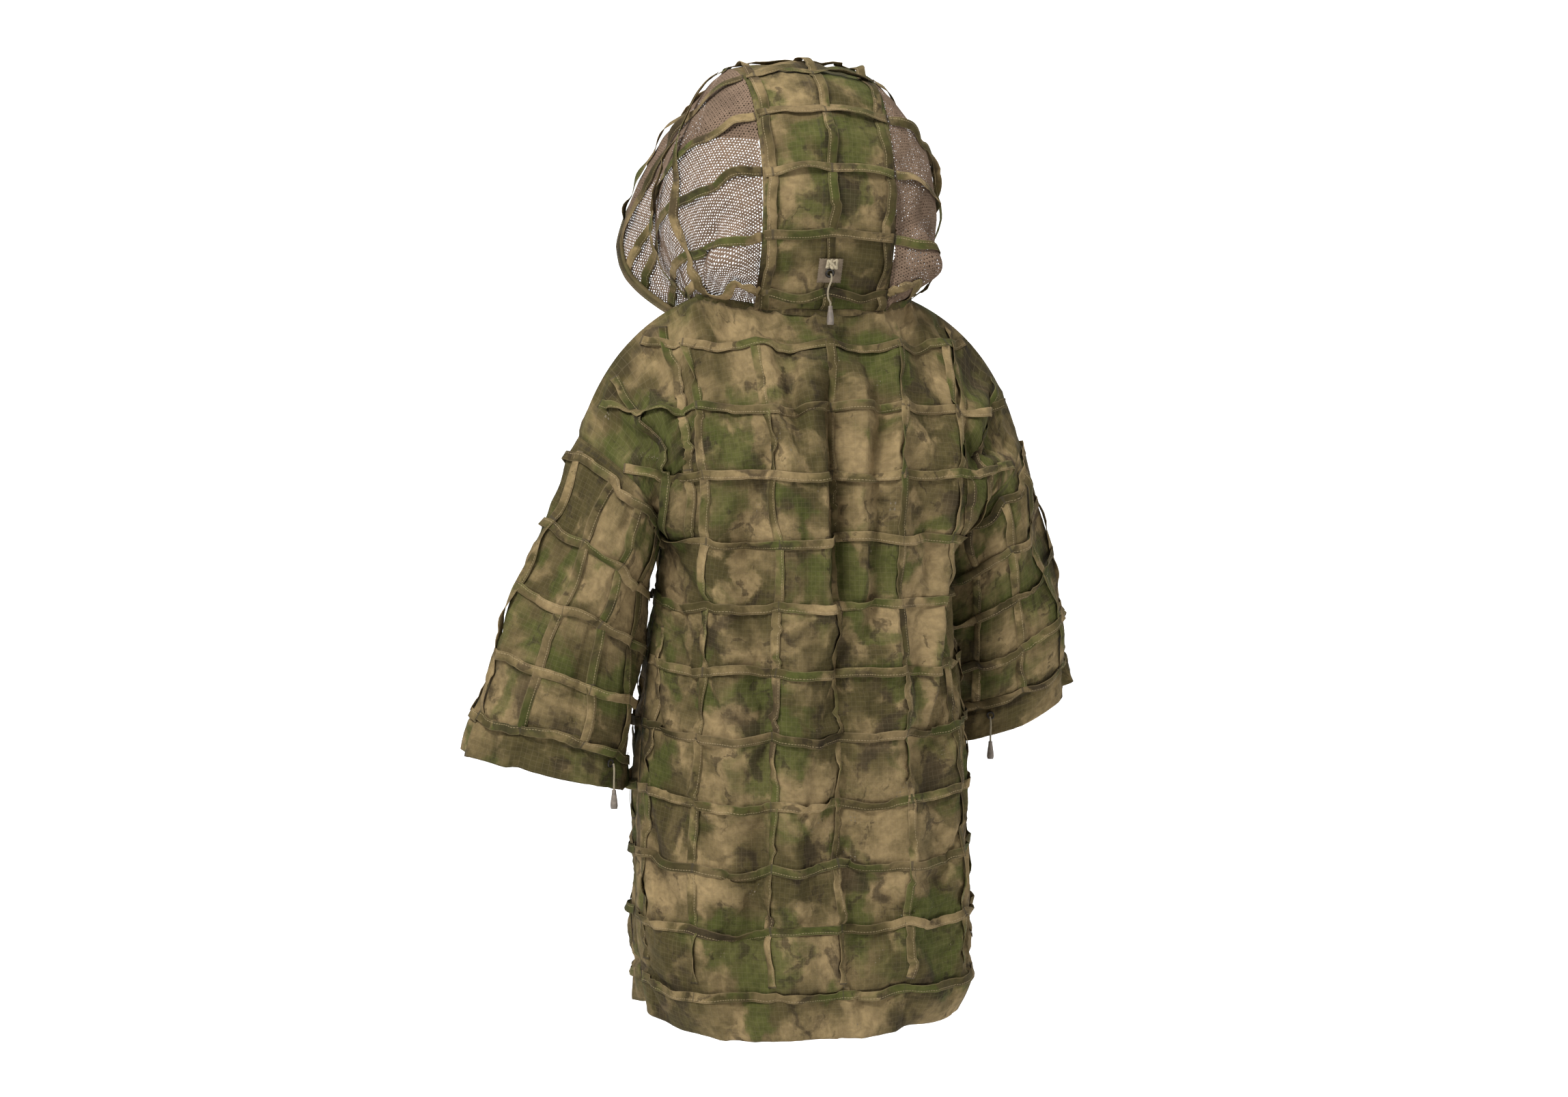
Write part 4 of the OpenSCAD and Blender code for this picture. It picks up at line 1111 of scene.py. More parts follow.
# Where each row runs across a mesh side, from the panel's edge to the face opening.
SIDE_ROUTES = [
    [[0.04, 0.0], [0.08, 0.5], [0.15, 0.9], [0.4, 0.95], [0.7, 0.95], [0.97, 0.93]],
    [[0.17, 0.0], [0.18, 0.24], [0.23, 0.55], [0.34, 0.76], [0.57, 0.86], [0.8, 0.84], [0.98, 0.82]],
    [[0.31, 0.0], [0.34, 0.15], [0.37, 0.35], [0.46, 0.56], [0.64, 0.67], [0.84, 0.70], [0.98, 0.70]],
    [[0.43, 0.0], [0.46, 0.15], [0.49, 0.28], [0.56, 0.42], [0.68, 0.54], [0.83, 0.59], [0.98, 0.60]],
    [[0.56, 0.0], [0.60, 0.12], [0.66, 0.25], [0.75, 0.33], [0.85, 0.42], [0.98, 0.48]],
    [[0.69, 0.0], [0.75, 0.12], [0.84, 0.22], [0.92, 0.31], [0.98, 0.36]],
    [[0.83, 0.0], [0.88, 0.10], [0.94, 0.18], [0.98, 0.22]]]
# Where the loose lengths run down a mesh side, across the rows.
SIDE_LONGS = [
    [[0.72, 0.02], [0.60, 0.24], [0.53, 0.42], [0.49, 0.57], [0.47, 0.70], [0.40, 0.80], [0.31, 0.90],
     [0.27, 0.98]],
    [[0.60, 0.30], [0.57, 0.48], [0.64, 0.58], [0.74, 0.62], [0.77, 0.71], [0.68, 0.84], [0.60, 0.95]]]


def blend_hood(obj):
    """Bakes the placement of a hood piece into its points."""
    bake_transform(obj)


def hood_folds(u, v, base):
    """Folds of the hood's middle panel: soft dents, ripples between the tapes and tucks beside its seams."""
    dent = 0.0030 * creases(base[..., 0], v * 0.6, 91, 0.07, 0.9) + 0.0015 * np.cos(2 * math.pi * v / 0.13)
    line = -0.003 * np.exp(-((np.abs(u) - 0.42) / 0.10) ** 2) * lattice_noise(u * 3, v * 9, 95)
    return (dent + line) * smooth((1 - np.abs(u)) / 0.12) * smooth(v / 0.03)


def side_folds(v, w):
    """The mesh falls in a few soft folds from the panel's edge, the deepest one down behind the jaw."""
    total = 0.006 * np.sin(2 * math.pi * (2.4 * v - 0.35 * w) + 0.6) * np.sin(math.pi * w)
    total += 0.012 * np.exp(-((v - 0.12 - 0.10 * w) / 0.05) ** 2) * np.sin(math.pi * w) ** 2
    total -= 0.014 * np.exp(-((v - 0.24 - 0.06 * w) / 0.045) ** 2) * np.sin(math.pi * w) ** 2
    total += 0.005 * creases(v * 0.5, w * 0.25, 103, 0.10, 1.3)
    return total * smooth(w / 0.06) * smooth((1 - w) / 0.08) * smooth(v / 0.05)


def flatten(points, rounds=500):
    """Lays a grid of points flat: from its run lengths along both ways, each edge and both diagonals are
    drawn towards their real lengths again and again, which leaves little stretch."""
    across = np.cumsum(np.linalg.norm(np.diff(points, axis=0, prepend=points[:1]), axis=2), axis=0)
    down = np.cumsum(np.linalg.norm(np.diff(points, axis=1, prepend=points[:, :1]), axis=2), axis=1)
    flat = np.stack([across, down], -1)
    pairs = [(np.s_[1:, :], np.s_[:-1, :]), (np.s_[:, 1:], np.s_[:, :-1]),
             (np.s_[1:, 1:], np.s_[:-1, :-1]), (np.s_[1:, :-1], np.s_[:-1, 1:])]
    lengths = [np.linalg.norm(points[a] - points[b], axis=-1, keepdims=True) for a, b in pairs]
    for _ in range(rounds):
        move = np.zeros_like(flat)
        for (a, b), want in zip(pairs, lengths):
            gap = flat[a] - flat[b]
            push = gap * (want / np.maximum(np.linalg.norm(gap, axis=-1, keepdims=True), 1e-9) - 1)
            move[a] += push
            move[b] -= push
        flat += 0.11 * move
    return flat


def knit(side, pitch):
    """Hexagonal cells, each with an oval hole, laid out on the flattened side. Returns grid shares and
    faces."""
    flat = flatten(side.points[::4, ::4])
    rows, cols = side.points.shape[:2]
    a, b = np.meshgrid(steps(0, 1, 8 * rows), steps(0, 1, 8 * cols), indexing="ij")
    spread = Cloth.at(side, a, b, np.concatenate([flat, flat[..., :1] * 0], -1))[..., :2]
    low, cell = spread.reshape(-1, 2).min(0), 0.0011
    bins = ((spread - low) / cell).astype(int)
    size = bins.reshape(-1, 2).max(0) + 1
    index = (bins[..., 0] * size[1] + bins[..., 1]).ravel()
    count = np.bincount(index, minlength=size[0] * size[1])
    table = np.stack([np.bincount(index, q.ravel(), size[0] * size[1]) for q in (a, b)], -1)
    table = (table / np.maximum(count, 1)[:, None]).reshape(size[0], size[1], 2)
    known = (count > 0).reshape(size[0], size[1])

    across, up = pitch, pitch * math.sqrt(3) / 2
    n, m = int(size[0] * cell / across) + 2, int(size[1] * cell / up) + 2
    i, j = np.meshgrid(np.arange(n), np.arange(m), indexing="ij")
    middle = np.stack([(i + 0.5 * (j % 2)) * across, j * up], -1).reshape(-1, 2)
    turn = np.radians(30 + 60 * np.arange(6))
    ring = np.stack([np.cos(turn), np.sin(turn)], -1)
    outer = middle[:, None] + ring * pitch / math.sqrt(3)
    hole = middle[:, None] + ring * [0.19 * pitch, 0.27 * pitch]
    corners = np.round(outer.reshape(-1, 2) / (pitch * 0.05)).astype(int)
    _, first, shared = np.unique(corners[:, 0] * 100000 + corners[:, 1], return_index=True,
                                 return_inverse=True)
    flat_points = np.concatenate([outer.reshape(-1, 2)[first], hole.reshape(-1, 2)])
    o = shared.reshape(-1, 6)
    h = len(first) + np.arange(len(middle) * 6).reshape(-1, 6)
    faces = np.stack([o, np.roll(o, -1, 1), np.roll(h, -1, 1), h], -1).reshape(-1, 4)
    where = np.clip((flat_points / cell).astype(int), 0, size - 1)
    inside = known[where[:, 0], where[:, 1]] & (flat_points < size * cell).all(1)
    shares = table[where[:, 0], where[:, 1]]
    faces = faces[inside[faces].all(1)]
    used, faces = np.unique(faces, return_inverse=True)
    raised = (used < len(first)).astype(float)
    return shares[used], faces.reshape(-1, 4), flat_points[used], raised


class OBJECT_OT_ghillie_hood(bpy.types.Operator):
    """Makes the hood: the printed middle panel, the two knitted mesh sides and the bound face opening"""
    bl_idname = "object.ghillie_hood"
    bl_label = "Hood"

    def execute(self, context):
        """Makes the middle panel, both mesh sides and the binding of the face opening."""
        u, v = np.meshgrid(steps(-1, 1, 61), steps(0, 1, 241), indexing="ij")
        base = Cloth(hood_base(u, v), -1)
        Garment.hood = base.pushed(hood_folds(u, v, base.points))
        x, y = Garment.hood.flat()
        edge = np.minimum(x, x.max() - x)
        line = np.maximum(stitches(edge - 0.004, y), stitches(np.abs(x - x.max() / 2) - 0.0105, y))
        obj = sheet_mesh("Hood middle panel", Garment.hood, np.stack([x + 8.8, y + 3.1], -1),
                         {"stitch": line})
        dress(obj, "cloth")
        blend_hood(obj)
        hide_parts("hood_panel")
        declare_sheet(Garment.hood)
        for hand, side in ((LEFT, "left"), (RIGHT, "right")):
            self.mesh_side(hand, side)
        self.binding()
        return {"FINISHED"}

    def mesh_side(self, hand, side):
        """One knitted side with its holes."""
        v, w = np.meshgrid(steps(0, 1, 121), steps(0, 1, 121), indexing="ij")
        base = Cloth(hood_side_base(v, w, hand), hand)
        cloth = base.pushed(side_folds(v, w))
        Garment.sides[hand] = cloth
        shares, faces, flat, raised = knit(cloth, SIZES.mesh_pitch)
        points = cloth.at(shares[:, 0], shares[:, 1]) + cloth.out(shares[:, 0], shares[:, 1]) \
            * (0.0004 * raised)[:, None]
        if self.faces_in(points, faces, cloth, shares):
            faces = faces[:, ::-1]
        obj = new_object(f"{side.title()} hood mesh", points, faces, flat)
        dress(obj, "mesh")
        blend_hood(obj)
        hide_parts(f"hood_mesh_{side}")
        declare_sheet(cloth)

    @staticmethod
    def faces_in(points, faces, cloth, shares):
        """Whether the faces look inwards."""
        a, b, c = points[faces[:, 0]], points[faces[:, 1]], points[faces[:, 2]]
        out = cloth.out(shares[faces[:, 0], 0], shares[faces[:, 0], 1])
        return (np.cross(b - a, c - b) * out).sum() < 0

    def binding(self):
        """A folded band round the face opening, over the front edges of the mesh and of the panel."""
        w, u = steps(0.97, 0.0, 70), steps(0.94, -0.94, 40)
        ones = np.ones_like(w)
        line = np.concatenate([Garment.sides[LEFT].at(ones, w), Garment.hood.at((u + 1) / 2, np.ones_like(u)),
                               Garment.sides[RIGHT].at(ones, w[::-1])])
        line += np.array([0, 0.004, 0])
        centre = np.array([0, line[:, 1].mean(), 0.09])
        along = unit(np.gradient(line, axis=0))
        out = unit((line - centre) * [1, 0, 1])
        out = unit(out - along * (out * along).sum(-1, keepdims=True))
        side = unit(np.cross(out, along))
        run = np.concatenate([[0], np.cumsum(np.linalg.norm(np.diff(line, axis=0), axis=1))])
        part = strip(line, side, out, 0.022, run, np.full(len(run), 1.0), 3.3, 0.005)
        obj = join_strips("Face binding", [part])
        dress(obj, "tape")
        blend_hood(obj)
        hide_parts("hood_face_binding")


# ---------------------------------------------------------------- netting

def wander(count, seed, size):
    """A slow random drift along a tape."""
    t = np.linspace(0, count / 7.0, count)
    return size * lattice_noise(t, np.full(count, seed * 1.7), seed)


def netting_object(name, strips, nodes, bend_with=None):
    """Joins strips into one netting piece that rides with the coat, or else is passed to the given function."""
    obj = join_strips(name, strips)
    dress(obj, "tape")
    if bend_with is None:
        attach(obj, "coat")
    else:
        bend_with(obj)
    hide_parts(*nodes)


def panel_path(face, low, high, u, z):
    """Grid shares on a coat panel that spans low to high for places u and heights z."""
    return np.stack([(u - low) / (high - low), level(u, z, face)], -1)


class OBJECT_OT_ghillie_netting(bpy.types.Operator):
    """Sews the netting tapes on the back, the fronts, the sleeves and the hood"""
    bl_idname = "object.ghillie_netting"
    bl_label = "Netting tapes"

    def execute(self, context):
        """Lays the tapes in one order, so that the same draws always give the same tapes."""
        self.rng = np.random.default_rng(20)
        self.back()
        self.fronts()
        self.sleeves()
        self.hood()
        return {"FINISHED"}

    def back(self):
        """Rows across and lengths down the back, and the rows that pass over the shoulders."""
        cloth, rng = Garment.back, self.rng
        rows, downs = [], []
        for k, height in enumerate(row_heights()):
            end = min(row_end(height), 0.99) if height > -0.155 else 0.992
            u = steps(-end, end, 60)
            z = height + wander(60, k + 3, 0.0045) * smooth((end - np.abs(u)) / 0.1)
            tacks = (np.array(COLUMNS) + end) / (2 * end)
            rows.append(tape_strip(cloth, panel_path(BACK, -1, 1, u, z), tacks, rng, 0.0020, 0.0035, 0.0045))
        heights = np.array(row_heights())
        for k, column in enumerate(COLUMNS + [0.90, -0.90]):
            start = float(level(np.array(column), np.array(heights[0]), BACK)) if abs(column) < 0.7 else 0.46
            t = steps(start, 0.925, 70)
            u = column + wander(70, k + 40, 0.010)
            tacks = (level(np.full(11, column), heights, BACK) - start) / (0.925 - start)
            downs.append(tape_strip(cloth, np.stack([(u + 1) / 2, t], -1), tacks, rng, 0.0009, 0.0018,
                                    0.0025))
        netting_object("Back tapes across", rows, ["back_tapes_across"])
        netting_object("Back tapes down", downs, ["back_tapes_down"])
        for hand, side in ((LEFT, "left"), (RIGHT, "right")):
            strips = []
            for k, place in enumerate((0.64, 0.82)):
                t = steps(0.02, YOKE_SHARE * 0.95, 30)
                u = hand * (place + wander(30, 60 + k, 0.02))
                strips.append(tape_strip(cloth, np.stack([(u + 1) / 2, t], -1), [0.25, 0.5, 0.75], rng,
                                         0.0009))
            netting_object(f"{side.title()} shoulder tapes", strips, [f"shoulder_tapes_{side}"])

    def fronts(self):
        """Rows and lengths on the two fronts."""
        edge = math.asin(ZIP_EDGE / SIZES.chest_half) / (math.pi / 2)
        for hand, side, cloth in ((LEFT, "left", Garment.front_left), (RIGHT, "right", Garment.front_right)):
            low, high = (edge, 1) if hand == LEFT else (-1, -edge)
            strips = []
            for k, height in enumerate(row_heights()[1:]):
                end = min(row_end(height), 0.99) if height > -0.155 else 0.992
                u = hand * steps(edge + 0.10, end, 40)
                z = height + wander(40, k + 80, 0.004)
                strips.append(tape_strip(cloth, panel_path(FRONT, low, high, u, z), [0.3, 0.62], self.rng,
                                         0.0022))
            for k, column in enumerate((COLUMNS[3], COLUMNS[4], 0.88)):
                start = 0.04 if column < 0.7 else 0.46
                t = steps(start, 0.925, 60)
                u = hand * (column + wander(60, k + 95, 0.012))
                strips.append(tape_strip(cloth, np.stack([(u - low) / (high - low), t], -1),
                                         steps(0, 1, 11), self.rng, 0.0009, 0.003, 0.003))
            netting_object(f"{side.title()} front tapes", strips, [f"front_tapes_{side}"])

    def sleeves(self):
        """Rows round and lengths down each sleeve."""
        for hand, side in ((LEFT, "left"), (RIGHT, "right")):
            cloth, rng = Garment.sleeves[hand], self.rng
            low, high = 0.05, cuff_share(hand) - 0.01
            rows, downs = [], []
            for k, place in enumerate(steps(low, high, 5)):
                p = steps(-0.44, 0.49, 90)
                v = place + wander(90, 120 + k + 10 * hand, 0.012)
                tacks = (np.arange(-3, 5) / 8 + 0.03 + 0.44) / 0.93
                rows.append(tape_strip(cloth, np.stack([p, v], -1), tacks, rng, 0.0022, 0.005, 0.004))
            for k in range(-3, 4):
                v = steps(low - 0.02, high, 50)
                p = k / 8 + 0.03 + wander(50, 150 + k, 0.006)
                downs.append(tape_strip(cloth, np.stack([p, v], -1), steps(0, 1, 5), rng, 0.0009, 0.004,
                                        0.004))
            bend_with = lambda obj, hand=hand: blend_sleeve(obj, hand)
            netting_object(f"{side.title()} sleeve tapes around", rows, [f"{side}_sleeve_tapes_around"],
                           bend_with)
            netting_object(f"{side.title()} sleeve tapes down", downs, [f"{side}_sleeve_tapes_down"],
                           bend_with)

    def hood(self):
        """Lengths along and rows across the hood, and the loose lengths on its mesh sides."""
        rng, cloth = self.rng, Garment.hood
        longs, cross = [], []
        for k, place in enumerate((-0.86, 0.0, 0.86)):
            v = steps(0.0, 0.99, 120)
            u = place + wander(120, 170 + k, 0.03)
            longs.append(tape_strip(cloth, np.stack([(u + 1) / 2, v], -1), HOOD_ROWS, rng, 0.001, 0.009,
                                    0.002))
        for k, row in enumerate(HOOD_ROWS):
            u = steps(-0.97, 0.97, 30)
            path = np.stack([(u + 1) / 2, row + wander(30, 190 + k, 0.006)], -1)
            cross.append(tape_strip(cloth, path, [0.06, 0.5, 0.94], rng, 0.0024, 0.005, 0.004))
            for hand in (LEFT, RIGHT):
                v, w = through(SIDE_ROUTES[k], steps(0, 1, 70)).T
                v = v + wander(70, 210 + k + 20 * hand, 0.010) * smooth(w / 0.1) * smooth((0.98 - v) / 0.1)
                cross.append(tape_strip(Garment.sides[hand], np.stack([v, w], -1),
                                        [0.0, 0.3, 0.55, 0.8, 1.0], rng,
                                        0.0014, 0.006, 0.005))
        for hand in (LEFT, RIGHT):
            for route in SIDE_LONGS:
                path = through(route, steps(0, 1, 90))
                longs.append(tape_strip(Garment.sides[hand], path, [0.0, 0.35, 0.7, 1.0], rng, 0.0046,
                                        0.010, 0.006))
        netting_object("Hood tapes long", longs, ["hood_tapes_long"], blend_hood)
        netting_object("Hood tapes cross", cross, ["hood_tapes_cross"], blend_hood)


# ---------------------------------------------------------------- trim

def front_frame(x, y, z):
    """Places points of the flat front drawing on the leaning front edge. z runs down from the neck."""
    lean = math.atan((SIZES.hem_front - SIZES.neck_front) / (-hem_z() - SIZES.neck_drop))
    c, s = math.cos(lean), math.sin(lean)
    return vec(x, -SIZES.neck_front + y * c + z * s, -SIZES.neck_drop - y * s + z * c)


def flat_cloth(points, name, thickness, material, shift=(0.0, 0.0)):
    """A plain strip of cloth with the thickness behind its outer face."""
    cloth = Cloth(points, 1)
    x, y = cloth.flat()
    obj = sheet_mesh(name, cloth, np.stack([x + shift[0], y + shift[1]], -1),
                     {"stitch": np.zeros_like(x)}, thickness)
    return dress(obj, material)


class OBJECT_OT_ghillie_zip(bpy.types.Operator):
    """Makes the front zip: two woven tapes, two rows of coils and the guard behind them"""
    bl_idname = "object.ghillie_zip"
    bl_label = "Front zip"

    def execute(self, context):
        """Sets each tape and row of coils beside the middle line, and the guard behind both."""
        length = 0.800
        tape_y = 0.0046
        for hand, side in ((LEFT, "left"), (RIGHT, "right")):
            x, z = np.meshgrid(steps(hand * 0.0008, hand * 0.0208, 5), steps(-0.002, -length - 0.012, 120),
                               indexing="ij")
            tape = flat_cloth(front_frame(x, tape_y, z), f"{side.title()} zip tape", -0.001 * hand,
                              "zip_tape")
            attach(tape, "coat")
            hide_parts(f"zip_tape_{side}")
            self.coils(hand, side, length, tape_y)
        x, z = np.meshgrid(steps(-0.028, 0.028, 13), steps(-0.006, -length - 0.030, 90), indexing="ij")
        wave = 0.0012 * lattice_noise(x / 0.02, z / 0.05, 9)
        guard = flat_cloth(front_frame(x, tape_y + 0.006 + wave, z), "Zip guard", 0.0010, "cloth",
                           (11.0, 2.0))
        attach(guard, "coat")
        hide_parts("zip_guard")
        return {"FINISHED"}

    def coils(self, hand, side, length, tape_y):
        """One row of coils: a loop every 2 mm, each a bent bar of five-sided section."""
        count = int((length - 0.020) / 0.002)
        bend_at = np.array([[0.0, 0.0], [1.0, 0.0], [1.35, 0.5], [1.0, 1.0], [0.0, 1.0]])
        line = np.stack([0.0030 - 0.0021 * bend_at[:, 0], -0.0017 * bend_at[:, 1]], -1)
        sides = 5
        turn = 2 * math.pi * np.arange(sides) / sides
        one = []
        for k, (x, y) in enumerate(line):
            one.append(np.stack([x + 0.0003 * np.cos(turn) * (0.4 if k == 2 else 1.0), np.full(sides, y),
                                 0.00045 * np.sin(turn)], -1))
        one = np.stack(one)
        one[..., 1] += 0.0003 * np.cos(turn)
        faces = []
        for ring in range(4):
            for s in range(sides):
                a, b = ring * sides + s, ring * sides + (s + 1) % sides
                faces.append([a, b, b + sides, a + sides])
        faces = np.array(faces)
        where = -0.026 - 0.002 * np.arange(count) - (0.001 if hand > 0 else 0.0)
        x = hand * np.broadcast_to(one[None, ..., 0], (count, 5, sides))
        y = tape_y - 0.0001 + np.broadcast_to(one[None, ..., 1], (count, 5, sides))
        z = where[:, None, None] + one[None, ..., 2]
        points = front_frame(x, y, z).reshape(-1, 3)
        every = (faces[None] + (np.arange(count) * 5 * sides)[:, None, None]).reshape(-1, 4)
        if hand < 0:
            every = every[:, ::-1]
        obj = new_object(f"{side.title()} zip coils", points, every)
        dress(obj, "coil")
        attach(obj, "coat")
        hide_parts(f"zip_coil_{side}")


def facing(name, surface, a, b, inward, nodes, shift, body="coat"):
    """A band sewn inside a panel, a little in from its inner face."""
    points = surface.at(a, b) - surface.out(a, b) * inward
    cloth = Cloth(points, surface.turn)
    x, y = cloth.flat()
    line = stitches(np.minimum(y, y.max() - y) - 0.004, x)
    obj = sheet_mesh(name, cloth, np.stack([x + shift, y + shift], -1), {"stitch": line}, 0.0006)
    dress(obj, "lining")
    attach(obj, body)
    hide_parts(*nodes)


class OBJECT_OT_ghillie_trim(bpy.types.Operator):
    """Adds the facings, the neck seam, the webbing patch and the knot at the nape"""
    bl_idname = "object.ghillie_trim"
    bl_label = "Trim"

    def execute(self, context):
        """Cuts the facings as bands of the panels they line, then adds the seam, the patch and the knot."""
        grid = lambda a0, a1, b0, b1, n, m: np.meshgrid(steps(a0, a1, n), steps(b0, b1, m), indexing="ij")
        hem = 1 - (1 - YOKE_SHARE) * SIZES.hem_band / (underarm_z() - hem_z())
        facing("Hem facing back", Garment.back, *grid(0.02, 0.98, hem, 0.992, 100, 10), 0.0026,
               ["hem_facing_back"], 5.1)
        facing("Hem facing left", Garment.front_left, *grid(0.04, 0.96, hem, 0.992, 60, 10), 0.0026,
               ["hem_facing_left"], 7.7)
        facing("Hem facing right", Garment.front_right, *grid(0.04, 0.96, hem, 0.992, 60, 10), 0.0026,
               ["hem_facing_right"], 9.9)
        facing("Neck facing", Garment.back, *grid(0.27, 0.73, 0.01, 0.07, 60, 10), 0.0026, ["neck_facing"],
               12.6)
        self.neck_seam()
        self.patch()
        return {"FINISHED"}

    def neck_seam(self):
        """A folded seam round the neck that covers where the hood is sewn on."""
        strips = []
        for face in (BACK, FRONT):
            u = steps(-NECK_SHARE, NECK_SHARE, 80)
            line = top_edge(u, face) + [0, 0, -0.003]
            out = unit(line * [1, 1, 0])
            line = line + out * (0.0040 if face == BACK else 0.002)
            if face == FRONT:
                keep = np.abs(line[:, 0]) > ZIP_EDGE
                parts = [line[keep & (line[:, 0] < 0)], line[keep & (line[:, 0] > 0)]]
            else:
                parts = [line]
            for part in parts:
                out = unit(part * [1, 1, 0])
                along = unit(np.gradient(part, axis=0))
                side = unit(np.cross(out, along))
                run = np.concatenate([[0], np.cumsum(np.linalg.norm(np.diff(part, axis=0), axis=1))])
                strips.append(strip(part, side, out, 0.009, run, np.full(len(run), 1.0), 5.0 + face, 0.0014))
        obj = join_strips("Neck seam", strips)
        dress(obj, "cloth")
        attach(obj, "coat")

    def patch(self):
        """A square of webbing with zigzag edges and a round hole, and a knot of flat elastic above the
        eyelet."""
        low, high = (np.array(c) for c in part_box("hood_patch"))
        middle = (low + high) / 2
        lean = math.atan(float((hood_line(np.array(0.13)) - hood_line(np.array(0.05)))[0]
                               / (hood_line(np.array(0.13)) - hood_line(np.array(0.05)))[1]))
        up = np.array([0, math.sin(lean), math.cos(lean)])
        out = np.array([0, math.cos(lean), -math.sin(lean)])
        side = np.array([1.0, 0, 0])
        turn = np.radians(np.arange(0, 360, 5))
        edge = 0.0155 / np.maximum(np.abs(np.cos(turn)), np.abs(np.sin(turn)))
        edge = edge + 0.0005 * np.where(np.arange(len(turn)) % 2, 1, -1)
        rings = []
        for share in (0.0, 0.06, 0.94, 1.0, 0.94, 0.06):
            radius = 0.0058 + (edge - 0.0058) * share
            height = 0.0 if share in (0.0, 1.0) else 0.0007
            rings.append(np.stack([radius * np.cos(turn), radius * np.sin(turn) - 0.003 * (1 - share),
                                   np.full(len(turn), height)], -1))
        rings[4][:, 2] *= -1
        rings[5][:, 2] *= -1
        local = np.stack(rings)
        points = middle + local[..., :1] * side + local[..., 1:2] * up + local[..., 2:] * out
        n, m = len(rings), len(turn)
        i, j = np.meshgrid(np.arange(n), np.arange(m), indexing="ij")
        k, l = (i + 1) % n, (j + 1) % m
        faces = np.stack([i * m + j, k * m + j, k * m + l, i * m + l], -1).reshape(-1, 4)
        obj = new_object("Webbing patch", points.reshape(-1, 3), faces)
        dress(obj, "webbing")
        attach(obj, "hood_body")
        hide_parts("hood_patch")
        self.knot(side, up, out)

    def knot(self, side, up, out):
        """A flat elastic tape wound as a figure of eight, with two short ends."""
        low, high = (np.array(c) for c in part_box("hood_knot"))
        middle = (low + high) / 2
        t = steps(0, 2 * math.pi, 70)
        loops = np.stack([0.0070 * np.sin(t) + 0.0012 * np.sin(3 * t), 0.0048 * np.sin(2 * t),
                          0.0020 * np.cos(t)], -1)
        around = np.stack([0.0020 * np.cos(2 * t), 0.0042 * np.sin(2 * t), 0.0030 * np.cos(2 * t + 1.2)], -1)
        strips = []
        for k, path in enumerate((loops, around)):
            line = middle + path[:, :1] * side + path[:, 1:2] * up + path[:, 2:] * out
            along = unit(np.gradient(line, axis=0))
            face_out = unit(out + 0.5 * (line - middle) / 0.007)
            across = unit(np.cross(face_out, along))
            above = unit(np.cross(along, across))
            run = np.concatenate([[0], np.cumsum(np.linalg.norm(np.diff(line, axis=0), axis=1))])
            strips.append(strip(line, across, above, 0.0036, run, np.full(len(run), 1.0), 2.0 + k, 0.0011))
        obj = join_strips("Elastic knot", strips)
        dress(obj, "elastic")
        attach(obj, "hood_body")
        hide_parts("hood_knot")


class OBJECT_OT_ghillie_finishes(bpy.types.Operator):
    """Gives the hard pieces of the frame their finish: zip metal, eyelets, cord ends and the hanger loop"""
    bl_idname = "object.ghillie_finishes"
    bl_label = "Hard pieces"

    def execute(self, context):
        """Fills the material slots of the CAD pieces that stay on show."""
        hard = {"zip_slider": "metal", "zip_top_stops": "metal", "zip_bottom_stop": "metal",
                "zip_pull": "plastic",
                "left_cuff_eyelet": "metal", "right_cuff_eyelet": "metal", "hood_eyelet": "metal",
                "left_cuff_cord_end": "plastic", "right_cuff_cord_end": "plastic", "hood_cord_end": "plastic",
                "hanger_loop": "webbing"}
        for node, material in hard.items():
            if node in frame["nodes"]:
                frame["nodes"][node].data.materials.clear()
                frame["nodes"][node].data.materials.append(MATERIALS[material])
        return {"FINISHED"}


# ---------------------------------------------------------------- stage

def area_light(name, place, aim, size, power):
    """A round soft light at a place, turned to its aim."""
    data = bpy.data.lights.new(name, "AREA")
    data.shape, data.size, data.energy = "DISK", size, power
    light = bpy.data.objects.new(name, data)
    bpy.context.scene.collection.objects.link(light)
    light.location = place
    light.rotation_euler = (Vector(aim) - Vector(place)).to_track_quat("-Z", "Y").to_euler()
    return light


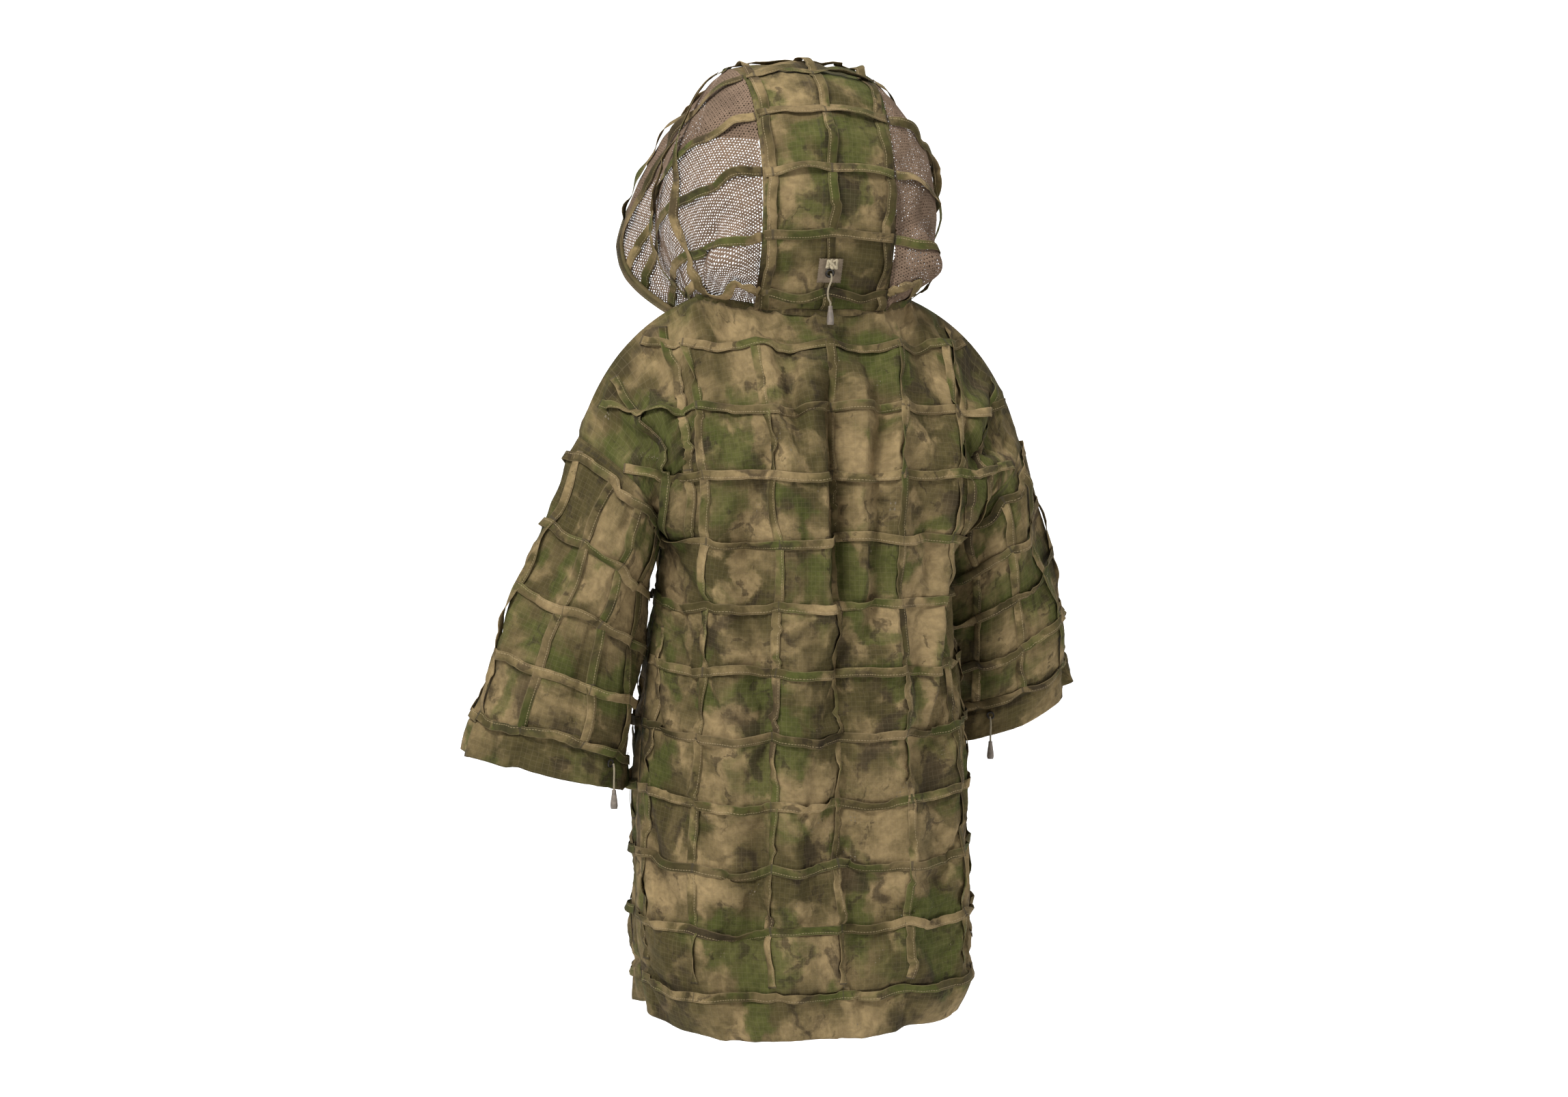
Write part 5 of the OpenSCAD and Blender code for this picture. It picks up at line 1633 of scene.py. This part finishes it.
class OBJECT_OT_ghillie_stage(bpy.types.Operator):
    """Sets the camera, the pale floor that curves up behind, and the soft light"""
    bl_idname = "object.ghillie_stage"
    bl_label = "Stage"

    def execute(self, context):
        """Sweeps the floor up behind the coat: flat, then a quarter circle, then upright."""
        scene = context.scene
        set_camera()
        scene.view_settings.view_transform = "Standard"
        scene.view_settings.look = "None"
        floor_z, radius, reach = -1.45, 1.5, 5.0
        turn = steps(0, math.pi / 2, 24)
        run = np.concatenate([[-30.0], reach + radius * np.sin(turn), [reach + radius]])
        rise = np.concatenate([[0.0], radius * (1 - np.cos(turn)), [7.0]])
        along = np.array([-math.sin(math.radians(18)), -math.cos(math.radians(18)), 0])
        across = np.array([along[1], -along[0], 0])
        width = steps(-30, 30, 9)
        points = along * run[:, None, None] + across * width[None, :, None] + np.array([0, 0, 1]) \
            * (floor_z + rise)[:, None, None]
        floor = new_object("Studio floor", points, grid_faces(len(run), len(width)))
        dress(floor, "floor")
        lights = [area_light("Key light", (2.1, 2.1, 2.3), (0, 0, -0.1), 1.2, 172),
                  area_light("Fill light", (-3.2, 2.2, 0.8), (0, 0, -0.3), 3.0, 22),
                  area_light("Top light", (0.0, 0.3, 3.4), (0, 0, -0.2), 2.0, 82)]
        world = bpy.data.worlds.new("studio")
        scene.world = world
        world.use_nodes = True
        world.node_tree.nodes["Background"].inputs[0].default_value = (1.0, 1.0, 1.0, 1.0)
        world.node_tree.nodes["Background"].inputs[1].default_value = 0.42
        return {"FINISHED"}


class VIEW3D_PT_ghillie(bpy.types.Panel):
    """Buttons for each group of pieces"""
    bl_idname = "VIEW3D_PT_ghillie"
    bl_label = "Ghillie coat"
    bl_space_type = "VIEW_3D"
    bl_region_type = "UI"
    bl_category = "Ghillie coat"

    def draw(self, context):
        """One button for each operator."""
        for operator in OPERATORS:
            self.layout.operator(operator.bl_idname)


OPERATORS = (
    OBJECT_OT_ghillie_stage, OBJECT_OT_ghillie_cords, OBJECT_OT_ghillie_coat, OBJECT_OT_ghillie_sleeves,
    OBJECT_OT_ghillie_hood, OBJECT_OT_ghillie_netting, OBJECT_OT_ghillie_zip, OBJECT_OT_ghillie_trim,
    OBJECT_OT_ghillie_finishes)
CLASSES = (GhillieSizes, GhillieColours, *OPERATORS, VIEW3D_PT_ghillie)


def register():
    """Adds the classes and the two groups of settings."""
    for item in CLASSES:
        bpy.utils.register_class(item)
    bpy.types.Scene.ghillie_sizes = bpy.props.PointerProperty(type=GhillieSizes)
    bpy.types.Scene.ghillie_colours = bpy.props.PointerProperty(type=GhillieColours)


def unregister():
    """Takes them away again."""
    del bpy.types.Scene.ghillie_sizes, bpy.types.Scene.ghillie_colours
    for item in reversed(CLASSES):
        bpy.utils.unregister_class(item)


def main():
    """Builds every group in order."""
    global SIZES, COLOURS
    register()
    SIZES, COLOURS = bpy.context.scene.ghillie_sizes, bpy.context.scene.ghillie_colours
    make_materials()
    bpy.ops.object.ghillie_stage()
    bpy.ops.object.ghillie_cords()
    bpy.ops.object.ghillie_coat()
    bpy.ops.object.ghillie_sleeves()
    bpy.ops.object.ghillie_hood()
    bpy.ops.object.ghillie_netting()
    bpy.ops.object.ghillie_zip()
    bpy.ops.object.ghillie_trim()
    bpy.ops.object.ghillie_finishes()


if __name__ == "__main__":
    main()
